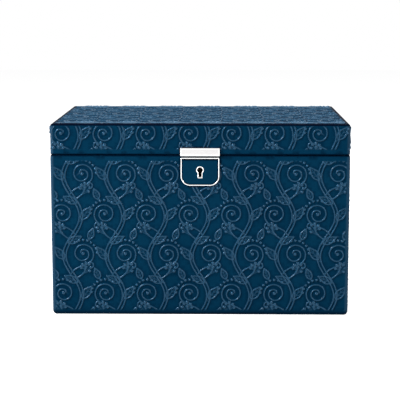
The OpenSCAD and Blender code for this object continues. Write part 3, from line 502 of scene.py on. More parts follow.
def make_press():
    """Raises a flat sheet along lines and over berries. The attribute relief keeps the height, and a second
    attribute marks the narrow band beside each line and berry, where painted shade darkens the leather's
    colour."""
    t, given = new_form("press_pattern", {
        "Lines": "Object", "Veins": "Object", "Berries": "Object",
        "Line half width": LINE_HALF, "Line height": LINE_HEIGHT, "Vein half width": VEIN_HALF,
        "Vein height": VEIN_HEIGHT, "Berry height": BERRY_HEIGHT,
    })

    def source(name):
        return t.node("GeometryNodeObjectInfo", {"Object": given[name]}).outputs["Geometry"]

    def attribute(name):
        return t.node("GeometryNodeInputNamedAttribute", {"Name": name}, data_type="FLOAT").outputs[0]

    def dome(share, power):
        rounded = t.math("SUBTRACT", 1.0, t.math("MULTIPLY", share, share), clamp=True)
        return t.math("POWER", rounded, power)

    def share_from(name, half_width):
        near = t.node("GeometryNodeProximity", {0: source(name)}, target_element="EDGES")
        return t.math("DIVIDE", near.outputs["Distance"], given[half_width])

    berries = source("Berries")
    nearest = t.node("GeometryNodeSampleNearest", {0: berries}).outputs[0]
    place = t.node("GeometryNodeInputPosition").outputs[0]

    def sample(kind, value):
        inputs = {0: berries, 1: value, "Index": nearest}
        return t.node("GeometryNodeSampleIndex", inputs, data_type=kind).outputs[0]

    middle = sample("FLOAT_VECTOR", place)
    apart = t.node("ShaderNodeVectorMath", {0: place, 1: middle}, operation="DISTANCE").outputs["Value"]
    berry = t.math("DIVIDE", apart, sample("FLOAT", attribute("radius")))
    line, vein = share_from("Lines", "Line half width"), share_from("Veins", "Vein half width")
    relief = t.math("MULTIPLY", dome(berry, BERRY_ROUNDNESS), given["Berry height"])
    for share, height in ((line, "Line height"), (vein, "Vein height")):
        relief = t.math("MAXIMUM", relief, t.math("MULTIPLY", dome(share, LINE_ROUNDNESS), given[height]))
    # painted shade: a band beside each line, vein and berry, darkest at a set distance from it, standing for
    # the shade at its foot
    beside = t.math("MINIMUM", t.math("MINIMUM", line, vein), berry)
    beside = t.math("ABSOLUTE", t.math("SUBTRACT", beside, BESIDE_SHADE_AT))
    pool = t.math("SUBTRACT", BESIDE_SHADE_DEPTH, t.math("DIVIDE", beside, BESIDE_SHADE_WIDTH), clamp=True)
    pressed = attribute("press")
    relief, pool = t.math("MULTIPLY", relief, pressed), t.math("MULTIPLY", pool, pressed)
    sheet = given["Geometry"]
    for name, value in (("relief", relief), ("pool", pool)):
        inputs = {"Geometry": sheet, "Name": name, "Value": value}
        kept = t.node("GeometryNodeStoreNamedAttribute", inputs, data_type="FLOAT", domain="POINT")
        sheet = kept.outputs[0]
    raised = t.node("GeometryNodeSetPosition", {"Geometry": sheet, "Offset": t.vector(0.0, 0.0, relief)})
    return end_form(t, raised.outputs[0], given)


def make_bead():
    """A bead of elliptical section along a path in the XY plane."""
    t, given = new_form("bead_along_path", {"Width": 1.5 * MM, "Height": 1 * MM, "Sides": 16})
    path = t.node("GeometryNodeMeshToCurve", {0: given["Geometry"]}).outputs[0]
    upright = t.node("GeometryNodeSetCurveNormal", {0: path}, mode="Z_UP").outputs[0]
    ring = t.node("GeometryNodeCurvePrimitiveCircle", {"Resolution": given["Sides"], "Radius": 1.0})
    size = t.vector(t.math("MULTIPLY", given["Width"], 0.5), given["Height"], 1.0)
    section = t.node("GeometryNodeTransform", {"Geometry": ring.outputs[0], "Scale": size}).outputs[0]
    sweep = t.node("GeometryNodeCurveToMesh", {"Curve": upright, "Profile Curve": section})
    return end_form(t, sweep.outputs[0], given)


def make_row():
    """Copies of a piece in a row along Y."""
    t, given = new_form("row_of_copies", {"Count": 2, "Spacing": 10 * MM})
    step = t.vector(0.0, given["Spacing"], 0.0)
    row = t.node("GeometryNodeMeshLine", {"Count": given["Count"], "Offset": step}).outputs[0]
    copies = t.node("GeometryNodeInstanceOnPoints", {"Points": row, "Instance": given["Geometry"]})
    return end_form(t, copies.outputs[0], given)


def make_stitches():
    """Stitches laid end to end along a path, with a gap between them."""
    t, given = new_form("stitch_row", {"Length": 2.4 * MM, "Gap": 1.0 * MM, "Thickness": 0.7 * MM})
    path = t.node("GeometryNodeMeshToCurve", {0: given["Geometry"]}).outputs[0]
    pitch = t.math("ADD", given["Length"], given["Gap"])
    spots = t.node("GeometryNodeResampleCurve", {"Curve": path, "Length": pitch}, mode="LENGTH").outputs[0]
    tangent = t.node("GeometryNodeInputTangent").outputs[0]
    along = t.node("FunctionNodeAlignRotationToVector", {"Vector": tangent}, axis="X").outputs[0]
    form = t.node("GeometryNodeMeshUVSphere", {"Segments": 8, "Rings": 6, "Radius": 1.0}).outputs[0]
    half = t.math("MULTIPLY", given["Thickness"], 0.5)
    size = t.vector(t.math("MULTIPLY", given["Length"], 0.5), half, half)
    stitch = t.node("GeometryNodeTransform", {"Geometry": form, "Scale": size}).outputs[0]
    copies = t.node("GeometryNodeInstanceOnPoints", {"Points": spots, "Instance": stitch, "Rotation": along})
    return end_form(t, copies.outputs[0], given)


PRESS, BEAD, ROW, STITCHES = make_press(), make_bead(), make_row(), make_stitches()


# ---------- Shader node groups ----------

def new_effect(name, inputs, *outputs):
    """A shader node group: coordinates come in besides the given inputs, and masks come out."""
    inputs = {"Vector": "Vector", **inputs}
    return new_group(name, "ShaderNodeTree", inputs, dict.fromkeys(outputs, "Float"))


def make_leather_grain():
    """Pebbled grain: rounded cells with fine creases over them."""
    sizes = {"Cells per metre": 900.0, "Crease share": 0.35}
    t, given = new_effect("leather_grain", sizes, "Height", "Creases")
    vector = given["Vector"]
    wobble = t.node("ShaderNodeTexNoise", {"Vector": vector, "Scale": 300.0, "Detail": 2.0}).outputs["Color"]
    uneven = t.node("ShaderNodeVectorMath", {0: wobble, 1: (GRAIN_WOBBLE,) * 3, 2: vector},
                    operation="MULTIPLY_ADD")
    cells = t.node("ShaderNodeTexVoronoi", {"Vector": uneven.outputs[0], "Scale": given["Cells per metre"]},
                   feature="DISTANCE_TO_EDGE")
    pebble = t.math("POWER", t.math("MULTIPLY", cells.outputs["Distance"], 2.2, clamp=True), 0.5)
    fine = t.noise(vector, 3800.0, Detail=3.0, Roughness=0.6)
    creases = t.math("MULTIPLY", fine, given["Crease share"])
    return t.end({"Height": t.math("ADD", pebble, creases),
                  "Creases": t.math("SUBTRACT", 1.0, pebble, clamp=True)})


def make_cloudiness():
    """Slow changes of tone over a surface, from 0 to 1."""
    t, given = new_effect("cloudiness", {"Clouds per metre": 14.0}, "Tone")
    noise = t.noise(given["Vector"], given["Clouds per metre"], Detail=4.0, Roughness=0.55)
    spread = t.node("ShaderNodeMapRange", {"Value": noise, "From Min": 0.3, "From Max": 0.7})
    return t.end({"Tone": spread.outputs["Result"]})


def make_nap():
    """Brushed fibres of suede or felt."""
    t, given = new_effect("nap", {"Fibres per metre": 2600.0, "Stretch": 3.0}, "Height", "Tone")
    combed = t.drawn_out(given["Vector"], given["Stretch"])
    fibres = t.noise(combed, given["Fibres per metre"], Detail=4.0, Roughness=0.7)
    brushed = t.noise(given["Vector"], 45.0, Detail=3.0, Distortion=1.2)
    tone = t.math("ADD", t.math("MULTIPLY", fibres, 0.45), t.math("MULTIPLY", brushed, 0.55))
    return t.end({"Height": fibres, "Tone": tone})


def make_polish_marks():
    """Fine marks left by polishing, mostly along X."""
    t, given = new_effect("polish_marks", {"Marks per metre": 5000.0, "Length": 30.0}, "Marks")
    drawn = t.drawn_out(given["Vector"], given["Length"])
    return t.end({"Marks": t.noise(drawn, given["Marks per metre"], Detail=3.0)})


GRAIN, CLOUDS, NAP, POLISH = make_leather_grain(), make_cloudiness(), make_nap(), make_polish_marks()


# ---------- Finishes ----------

class Finish(Tree):
    """A material under construction, with its Principled shader and its object coordinates."""

    def __init__(self, name):
        self.material = bpy.data.materials.new(name)
        self.material.use_nodes = True
        super().__init__(self.material.node_tree)
        self.shader = self.tree.nodes["Principled BSDF"]
        self.place = self.node("ShaderNodeTexCoord").outputs["Object"]

    def set(self, **values):
        """Sets the shader's inputs, or links them where the value is an output."""
        for name, value in values.items():
            self.feed(self.shader.inputs[name.replace("_", " ")], value)

    def effect(self, group, **values):
        inputs = {name.replace("_", " "): value for name, value in values.items()}
        return self.node("ShaderNodeGroup", {"Vector": self.place, **inputs}, node_tree=group).outputs

    def attribute(self, name):
        return self.node("ShaderNodeAttribute", attribute_name=name).outputs["Fac"]

    def mix(self, share, a, b):
        """A colour between a and b."""
        return self.node("ShaderNodeMix", {"Factor": share, 6: a, 7: b}, data_type="RGBA").outputs[2]

    def bump(self, height, depth, strength=1.0):
        node = self.node("ShaderNodeBump", {"Distance": depth, "Strength": strength, "Height": height})
        self.set(Normal=node.outputs[0])


def rgb(red, green, blue):
    """A colour written as 0 to 255 on a screen, in the linear values that a shader takes."""
    def linear(c):
        c /= 255
        return c / 12.92 if c <= 0.04045 else ((c + 0.055) / 1.055) ** 2.4
    return (linear(red), linear(green), linear(blue), 1.0)


def make_case_leather(name, pressed):
    """Deep blue leather. Where it is pressed, its raised lines are glossier, and their colour is lightened a
    little as a painted highlight.
    """
    f = Finish(name)
    tone = f.effect(CLOUDS, Clouds_per_metre=16.0)["Tone"]
    grain = f.effect(GRAIN, Cells_per_metre=1100.0)
    base = f.mix(tone, rgb(3, 43, 67), rgb(6, 50, 75))
    base = f.mix(f.math("MULTIPLY", grain["Creases"], 0.3), base, rgb(0, 34, 57))
    if pressed:
        raised = f.math("DIVIDE", f.attribute("relief"), LINE_HEIGHT, clamp=True)
        # painted shade in the band beside each raised line
        base = f.mix(f.math("MULTIPLY", f.attribute("pool"), 0.55), base, rgb(0, 26, 48))
        # painted highlight: the raised lines lightened towards pale blue
        base = f.mix(f.math("MULTIPLY", raised, 0.1), base, rgb(84, 140, 176))
        # painted highlight: lighter on the upright corners and in a strip on the lid's top near its front and
        # back edges
        base = f.mix(f.math("MULTIPLY", f.attribute("edge"), 0.7), base, rgb(104, 136, 162))
        # painted shade: near black along the joint, the base, round the trim, at the lid's top edges and at
        # the inlay's edge and top
        base = f.mix(f.attribute("dark_edge"), base, rgb(0, 6, 24))
        f.set(Coat_Weight=f.math("MULTIPLY", raised, COAT_ON_LINES), Coat_Roughness=0.26, Coat_IOR=1.5,
              Metallic=f.math("MULTIPLY", raised, PEARL_ON_LINES), Roughness=f.between(raised, 0.55, 0.31))
    else:
        f.set(Roughness=f.between(tone, 0.5, 0.6))
    f.set(Base_Color=base, IOR=1.2, Specular_IOR_Level=0.05, Specular_Tint=(0.45, 0.72, 1.0, 1.0))
    f.bump(grain["Height"], 0.00006, 0.7)
    return f.material


def make_suede(name, light, dark, fibres=2600.0):
    f = Finish(name)
    nap = f.effect(NAP, Fibres_per_metre=fibres)
    tone = f.effect(CLOUDS, Clouds_per_metre=30.0)["Tone"]
    shade = f.mix(f.math("MULTIPLY", tone, 0.25), f.mix(nap["Tone"], dark, light), dark)
    f.set(Base_Color=shade, Roughness=f.between(tone, 0.84, 0.96),
          Specular_IOR_Level=0.2, Sheen_Weight=0.35, Sheen_Roughness=0.45)
    f.bump(nap["Height"], 0.00012, 0.6)
    return f.material


def make_metal(name, base, dull, smoothest, roughest, marks_length=30.0):
    f = Finish(name)
    marks = f.effect(POLISH, Length=marks_length)["Marks"]
    tone = f.effect(CLOUDS, Clouds_per_metre=60.0)["Tone"]
    blend = f.math("MULTIPLY", f.math("ADD", marks, tone), 0.5)
    f.set(Base_Color=f.mix(f.math("MULTIPLY", marks, 0.5), base, dull),
          Roughness=f.between(blend, smoothest, roughest), Metallic=1.0)
    f.bump(marks, 0.000006, 0.25)
    return f.material


def make_clouded(name, clouds, colours, roughness, **values):
    """A plain finish whose colour and gloss change slowly over the surface."""
    f = Finish(name)
    tone = f.effect(CLOUDS, Clouds_per_metre=clouds)["Tone"]
    f.set(Base_Color=f.mix(tone, *colours), Roughness=f.between(tone, *roughness), **values)
    return f.material


def make_thread():
    """Waxed thread: the fibres' twist shows as fine bands."""
    f = Finish("thread")
    nap = f.effect(NAP, Fibres_per_metre=5200.0, Stretch=0.3)
    f.set(Base_Color=f.mix(nap["Tone"], rgb(24, 58, 84), rgb(64, 104, 132)),
          Roughness=f.between(nap["Tone"], 0.5, 0.68))
    f.bump(nap["Height"], 0.00008, 0.6)
    return f.material


def make_fibreboard():
    f = Finish("fibreboard")
    nap = f.effect(NAP, Fibres_per_metre=900.0, Stretch=1.0)
    tone = f.effect(CLOUDS, Clouds_per_metre=40.0)["Tone"]
    share = f.math("MULTIPLY", f.math("ADD", nap["Tone"], tone), 0.5)
    f.set(Base_Color=f.mix(share, rgb(150, 118, 84), rgb(196, 164, 124)),
          Roughness=f.between(nap["Tone"], 0.75, 0.92))
    f.bump(nap["Height"], 0.0001, 0.5)
    return f.material


case_leather = make_case_leather("case_leather", True)
plain_leather = make_case_leather("plain_leather", False)
stone_suede = make_suede("stone_suede", rgb(196, 184, 168), rgb(158, 145, 130))
pad_suede = make_suede("pad_suede", rgb(204, 193, 178), rgb(168, 156, 141), 2200.0)
base_felt_finish = make_suede("base_felt_finish", rgb(46, 52, 64), rgb(26, 31, 42), 1400.0)
polished_nickel = make_metal("polished_nickel", rgb(246, 246, 245), rgb(226, 228, 229), 0.10, 0.2)
brushed_nickel = make_metal("brushed_nickel", rgb(206, 204, 204), rgb(190, 188, 188), 0.3, 0.45, 60.0)
satin_nickel = make_metal("satin_nickel", rgb(186, 188, 191), rgb(150, 153, 157), 0.24, 0.38)
blackened_steel = make_clouded("blackened_steel", 400.0, (rgb(9, 9, 11), rgb(17, 17, 19)), (0.5, 0.7),
                               Specular_IOR_Level=0.1)
fibreboard = make_fibreboard()
thread = make_thread()
mirror_silver = make_clouded("mirror_silver", 8.0, (rgb(236, 239, 240), rgb(240, 242, 243)), (0.01, 0.025),
                             Metallic=1.0)


# ---------- The pattern: scrolling vine, leaves and berries ----------

# its motifs, in millimetres from the foot of one repeat's stem
SCROLL_CENTRE = (-9.6, 21.0)
SCROLL_START = -110       # degrees
SCROLL_TURNS = 1.62
SCROLL_POINTS = 70
SCROLL_EYE_R = 2.6
SCROLL_SPREAD = 8.0       # how much wider the scroll is at its start
SCROLL_TIGHTNESS = 0.82   # power by which it narrows
LEAD_START = (1.6, 2.2)   # the line from the stem to the scroll
LEAD_BEND = (-0.4, 6.6)
LEAD_END = (5.0, -1.8)    # its last bend, from the scroll's start
EYE_BERRY_R = 1.6
ARC_BERRY_R = 1.3         # berries in an arc behind the scroll
ARC_R = 13.2
ARC_START = 176           # degrees
ARC_STEP = 17
ARC_COUNT = 8
SPRIG_BERRY_R = 1.5
SPRIG_BERRIES = ((-4.2, 0.4), (-3.0, 3.6), (0.2, 5.4), (3.4, 4.0), (4.8, 0.8), (3.6, -2.6))
SPRIG_TIP_RISE = 1.6
TWIG_BEND = (0.4, 0.6)    # where a berry's twig bends: shares of its root's place and of its berry's
TWIG_END = (0.85, 0.15)   # where it ends: shares of its berry's place and of the stalk's tip
TENDRIL = ((-15.6, 12.8), (-19.4, 13.4), (-20.8, 8.6), (-17.4, 7.4))
STALK = ((2.4, 35.0), (7.0, 37.0), (10.6, 40.0), (12.0, 45.0))
CURVE_POINTS = 14
STEM_POINTS = 80
# x, z, lean in degrees, length and width
LEAVES = ((8.3, 16.0, 38, 14.5, 7.6), (4.2, 31.6, -64, 14.0, 6.8), (-15.4, 35.0, -22, 11.0, 6.0))
LEAF_POINTS = 15
LEAF_BELLY = 0.8          # under 1, so that a leaf is widest below its middle
LEAF_TAPER = 0.15         # how much narrower it gets towards its tip
MIDRIB = (-0.18, 0.2, 0.5, 0.82)  # shares of the leaf's length
SIDE_VEINS = (0.28, 0.52)  # where the side veins leave the midrib
VEIN_RISE = 0.16          # how far they rise, as a share of the leaf's length
VEIN_REACH = 0.72         # how far they reach towards its edge
VEIN_BEND = (0.09, 0.55)  # their bend: how far it has risen, and its share of the reach


def leaf_lines(x, z, degrees, length, width):
    """A pointed leaf: its outline as strong lines, its midrib and side veins as fine ones."""
    t = np.linspace(0, 1, LEAF_POINTS)
    half = width / 2 * np.sin(math.pi * t ** LEAF_BELLY) * (1 - LEAF_TAPER * t)
    turn = math.radians(degrees)
    along = np.array([math.sin(turn), math.cos(turn)])
    across = np.array([along[1], -along[0]])

    def place(a, b):
        a, b = np.atleast_1d(a) * length, np.atleast_1d(b)
        return np.array([x, z]) + np.outer(a, along) + np.outer(b, across)

    fine = [place(np.array(MIDRIB), np.zeros(len(MIDRIB)))]
    for start in SIDE_VEINS:
        for side in (-1, 1):
            tip = np.interp(start + VEIN_RISE, t, half) * VEIN_REACH
            bend = (start + VEIN_BEND[0], side * tip * VEIN_BEND[1])
            fine.append(np.vstack([place(start, 0.0), place(*bend), place(start + VEIN_RISE, side * tip)]))
    return [place(t, half), place(t, -half)], fine


def half_tile():
    """Half of one repeat, in millimetres. The other half is the same, mirrored and moved up."""
    centre = np.array(SCROLL_CENTRE)
    angles = np.radians(np.linspace(SCROLL_START, SCROLL_START - 360 * SCROLL_TURNS, SCROLL_POINTS))
    radii = np.linspace(1, 0, SCROLL_POINTS) ** SCROLL_TIGHTNESS * SCROLL_SPREAD + SCROLL_EYE_R
    scroll = centre + np.stack([np.cos(angles), np.sin(angles)], axis=1) * radii[:, None]
    lead = bezier(LEAD_START, LEAD_BEND, scroll[0] + LEAD_END, scroll[0])
    stalk = bezier(*STALK, CURVE_POINTS)
    strong = [np.vstack([lead[:-1], scroll]), bezier(*TENDRIL, CURVE_POINTS)]
    fine, berries = [], [(*centre, EYE_BERRY_R)]
    for turn in np.radians(ARC_START - ARC_STEP * np.arange(ARC_COUNT)):
        berries.append((centre[0] + ARC_R * math.cos(turn), centre[1] + ARC_R * math.sin(turn), ARC_BERRY_R))
    for leaf in LEAVES:
        outline, veins = leaf_lines(*leaf)
        strong += outline
        fine += veins
    strong.append(stalk)
    for k, offset in enumerate(SPRIG_BERRIES):
        root, end = stalk[-2 - k], stalk[-1] + offset
        bend = root * TWIG_BEND[0] + end * TWIG_BEND[1]
        fine.append(np.vstack([root, bend, end * TWIG_END[0] + stalk[-1] * TWIG_END[1]]))
        berries.append((*end, SPRIG_BERRY_R))
    berries.append((*(stalk[-1] + (0, SPRIG_TIP_RISE)), SPRIG_BERRY_R))
    return strong, fine, berries


def tile_pattern():
    """One full repeat in metres: strong lines, fine lines and berries (x, z, radius)."""
    strong, fine, berries = half_tile()
    lift = TILE_H / MM / 2

    def other(lines):
        return [np.asarray(line) * (-1, 1) + (0, lift) for line in lines]

    strong, fine = strong + other(strong), fine + other(fine)
    berries = berries + [(-x, z + lift, r) for x, z, r in berries]
    z = np.linspace(0, TILE_H / MM, STEM_POINTS)
    swing = STEM_SWING / MM * np.sin(2 * math.pi * z * MM / TILE_H)
    lean = np.gradient(swing, z)
    offset = STEM_GAP / MM / np.sqrt(1 + lean ** 2)
    for side in (-1, 1):
        strong.append(np.stack([swing + side * offset, z - side * offset * lean], axis=1))
    return [np.asarray(p) * MM for p in strong], [np.asarray(p) * MM for p in fine], np.array(berries) * MM


TILE = tile_pattern()


def runs_inside(line, low, high):
    """The stretches of a line that lie between two corners."""
    keep = ((line > low) & (line < high)).all(axis=1)
    breaks = np.flatnonzero(np.diff(keep.astype(int))) + 1
    runs = zip(np.split(line, breaks), np.split(keep, breaks))
    return [run for run, kept in runs if kept[0] and len(run) > 1]


def pattern_over(low, high):
    """The pattern over a stretch of wall, cut to it: strong lines, fine lines and berries."""
    strong, fine, berries = [], [], []
    size = (TILE_W, TILE_H)
    first = np.floor((low - size) / size).astype(int)
    last = np.ceil((high + size) / size).astype(int)
    for i in range(first[0], last[0] + 1):
        for j in range(first[1], last[1] + 1):
            move = np.array([i * TILE_W, j * TILE_H])
            for source, target in ((TILE[0], strong), (TILE[1], fine)):
                for line in source:
                    target += runs_inside(resample(line + move, PRESS_STEP), low, high)
            for x, z, r in TILE[2]:
                if low[0] < x + move[0] < high[0] and low[1] < z + move[1] < high[1]:
                    berries.append((x + move[0], z + move[1], r))
    return strong, fine, np.array(berries)


def line_points(lines, half_width, shares):
    """Mesh points along each line and on both sides of it."""
    out = []
    for line in lines:
        lean = np.gradient(line, axis=0)
        lean /= np.maximum(np.linalg.norm(lean, axis=1, keepdims=True), 1e-12)
        across = np.stack([-lean[:, 1], lean[:, 0]], axis=1)
        out += [line + across * share * half_width for share in shares]
    return np.vstack(out)


def berry_points(berries):
    """Mesh points in the middle of each berry and in rings round it."""
    out = []
    for x, z, r in berries:
        out.append([(x, z)])
        for share, count in BERRY_RINGS:
            turn = np.arange(count) * 2 * math.pi / count + share
            out.append(np.stack([x + r * share * np.cos(turn), z + r * share * np.sin(turn)], axis=1))
    return np.vstack(out)


# ---------- Leather sheets ----------

def triangulate(points, loops):
    """Triangles between the points, with the loops' edges kept. Also gives the loops' new numbers."""
    starts = [0, *np.cumsum([len(loop) for loop in loops]).tolist()]
    edges = [edge for start, loop in zip(starts, loops) for edge in loop_edges(len(loop), start)]
    flat = [Vector((float(x), float(y))) for x, y in points]
    made, _, faces, source, _, _ = delaunay_2d_cdt(flat, edges, [], 0, SAME_PLACE, True)
    number = {origin: index for index, origins in enumerate(source) for origin in origins}
    numbered = [[number[start + k] for k in range(len(loop))] for start, loop in zip(starts, loops)]
    return np.array([(p.x, p.y) for p in made]), np.array([f for f in faces if len(f) == 3]), numbered


def sheet_mesh(outline, holes, inner_points, outline_step=OUTLINE_STEP):
    """A flat mesh inside an outline: points, triangles and the loops of the outline and the holes."""
    loops = [split_outline(loop, outline_step) for loop in (outline, *holes)]

    def inside(points):
        out_of_holes = [~inside_polygon(points, hole) for hole in holes]
        return np.logical_and.reduce([inside_polygon(points, outline), *out_of_holes])

    keep = inside(inner_points) & (distance_to_outline(inner_points, outline) > OUTLINE_CLEAR)
    for hole in holes:
        keep &= distance_to_outline(inner_points, hole) > HOLE_CLEAR
    inner_points = inner_points[keep]
    _, first = np.unique(np.round(inner_points / HOLE_CLEAR).astype(np.int64), axis=0, return_index=True)
    made, faces, numbered = triangulate(np.vstack(loops + [inner_points[np.sort(first)]]), loops)
    keep = inside(made[faces].mean(axis=1))
    a, b, c = (made[faces[:, k]] for k in range(3))
    area = (b[:, 0] - a[:, 0]) * (c[:, 1] - a[:, 1]) - (b[:, 1] - a[:, 1]) * (c[:, 0] - a[:, 0])
    faces[area < 0] = faces[area < 0][:, ::-1]
    return made, faces[keep & (np.abs(area) > SMALLEST_AREA)], numbered


def profile(v, z_low, z_high, r_low, r_high):
    """Runs up a wall: how far in it lies, its height, and which way it faces (out, up)."""
    inset, z = np.zeros_like(v), v.copy()
    out, up = np.ones_like(v), np.zeros_like(v)
    for level, r, sign in ((z_low, r_low, -1), (z_high, r_high, 1)):
        past = sign * (v - level)
        turn = np.clip((past + r) / (2 * r), 0, 1) * math.pi / 2
        zone = past > -r
        inset = np.where(zone, r * (1 - np.cos(turn)) + np.clip(past - r, 0, None), inset)
        z = np.where(zone, level - sign * r * (1 - np.sin(turn)), z)
        out = np.where(zone, np.cos(turn), out)
        up = np.where(zone, sign * np.sin(turn), up)
    return inset, z, out, up


def wrap(flat, lift, wall, levels):
    """Lays a flat sheet on a wall and round its corners. wall is (half length, half depth, turn),
    and levels are those of its lower and upper edge and their radii."""
    half_len, half_dep, turn = wall
    s, v = flat[:, 0], flat[:, 1]
    inset, z, out, up = profile(v, *levels)
    side, reach = np.sign(s), np.abs(s)
    angle = np.clip((reach - (half_len - CORNER_R)) / (2 * CORNER_R), 0, 1) * math.pi / 2
    radius = np.maximum(CORNER_R - inset, 0)
    straight = reach <= half_len - CORNER_R
    beyond = reach >= half_len + CORNER_R
    x = np.where(straight, reach, half_len - CORNER_R + radius * np.sin(angle))
    y = np.where(straight, half_dep - inset, half_dep - CORNER_R + radius * np.cos(angle))
    x = np.where(beyond, half_len - inset, x)
    y = np.where(beyond, half_dep - (reach - half_len), y)
    face_x, face_y = side * np.sin(angle), np.cos(angle)
    x, y = side * x + lift * out * face_x, y + lift * out * face_y
    # the front wall looks along -Y; the others are the same wall, turned about Z
    c, k = round(math.cos(turn)), round(math.sin(turn))
    return np.stack([c * x + k * y, k * x - c * y, z + lift * up], axis=1)


def close_shell(name, top, top_faces, top_loops, back, back_faces=None, back_loops=None):
    """Joins a front surface and a back surface along their loops into one closed piece. A back
    that is given without faces has those of the front."""
    back_faces = top_faces if back_faces is None else back_faces
    back_loops = top_loops if back_loops is None else back_loops
    shift = len(top)
    faces = [tuple(f) for f in top_faces] + [tuple(shift + i for i in reversed(f)) for f in back_faces]
    sharp = set()
    for index, (top_loop, back_loop) in enumerate(zip(top_loops, back_loops)):
        for k, n in loop_edges(len(top_loop)):
            a, b, c, d = top_loop[k], top_loop[n], shift + back_loop[n], shift + back_loop[k]
            faces.append((a, d, c, b) if index == 0 else (a, b, c, d))
            sharp |= {tuple(sorted((a, b))), tuple(sorted((c, d)))}
    piece = new_piece(name, np.vstack([top, back]), faces)
    shade_smooth(piece)
    ends = np.zeros(len(piece.data.edges) * 2, int)
    piece.data.edges.foreach_get("vertices", ends)
    kept = piece.data.attributes
    mark = kept.get("sharp_edge") or kept.new("sharp_edge", "BOOLEAN", "EDGE")
    mark.data.foreach_set("value", [tuple(sorted(e)) in sharp for e in ends.reshape(-1, 2).tolist()])
    piece.data.update()
    return piece


def pressed_sheet(name, outline, holes, place, press, curved, worn, body):
    """A leather sheet with the pattern pressed into it, laid in place.
    place turns flat points and their lift into space, press says where the pattern shows,
    curved holds the points that carry the bends, and the function given after it returns the painted
    highlight and the painted shade."""
    low, high = outline.min(axis=0), outline.max(axis=0)
    strong, fine, berries = pattern_over(low, high)
    inner = np.vstack([
        curved,
        line_points(strong, LINE_HALF, LINE_SHARES),
        line_points(fine, VEIN_HALF, VEIN_SHARES),
        berry_points(berries),
        lattice(spaced(low[0], high[0], GRID_STEP), spaced(low[1], high[1], GRID_STEP)),
    ])
    flat, faces, loops = sheet_mesh(outline, holes, inner)
    sheet = new_piece(name + "_flat", np.c_[flat, np.zeros(len(flat))], faces)
    store(sheet, "press", press(*flat.T))
    lines, veins = wire_object(name + "_lines", strong), wire_object(name + "_veins", fine)
    dots = new_piece(name + "_berries", berries * (1, 1, 0))
    store(dots, "radius", berries[:, 2])
    apply_form(sheet, PRESS, lines=lines, veins=veins, berries=dots, material=case_leather)
    relief, pool = stored(sheet, "relief"), stored(sheet, "pool")
    for used in (lines, veins, dots, sheet):
        bpy.data.objects.remove(used)
    back_flat, back_faces, back_loops = sheet_mesh(outline, holes, curved)
    back = place(back_flat, np.full(len(back_flat), -SKIN_T))
    piece = close_shell(name, place(flat, relief), faces, loops, back, back_faces, back_loops)
    # the painted highlight and the painted shade, kept for the leather's colour
    light, dark = worn(*flat.T)
    for label, values in (("relief", relief), ("pool", pool), ("edge", light), ("dark_edge", dark)):
        store(piece, label, values)
    return finish_piece(piece, body, case_leather)


def corner_band(s, half_len):
    """1 in the middle of an upright corner, 0 on the flat walls."""
    return np.clip(1 - np.abs(np.abs(s) - half_len) / CORNER_R, 0, 1)


FRONT, RIGHT, BACK, LEFT = 0.0, math.pi / 2, math.pi, 3 * math.pi / 2


def hinge_spans():
    """Where the hinges lie along the back wall, as ranges of s."""
    pins = places(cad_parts["hinge_pins"].data)
    right = pins[pins[:, 0] > 0][:, 0].astype(float)
    low, high = right.min() - HINGE_SIDE, right.max() + HINGE_SIDE
    return [(-high, -low), (low, high)]


def keyhole_outline(grow, arc_points=16):
    """The keyhole in a front view (x, z), made larger by grow."""
    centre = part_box("keyhole_rim")[1].z - KEY_R - KEY_RIM_W
    radius, half_slot = KEY_R + grow, KEY_SLOT_HALF + grow
    bottom = centre - KEY_SLOT_REACH - grow
    start = math.asin(half_slot / radius)
    turns = np.linspace(-math.pi / 2 + start, 1.5 * math.pi - start, arc_points)
    arc = [(radius * math.cos(t), centre + radius * math.sin(t)) for t in turns]
    return np.array([(-half_slot, bottom), (half_slot, bottom)] + arc, float)


def shield_outline(inset):
    """The lock plate's outline in a front view (x, z), this far inside its edge."""
    low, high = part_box("lock_plate")
    return rounded_outline(high.x - inset, low.z + inset, high.z - inset,
                           PLATE_CORNER_R - inset, PLATE_TOP_R, arc_points=9)


def bar_outline():
    low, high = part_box("strike_bar")
    return rectangle(low.x, low.z, high.x, high.z)


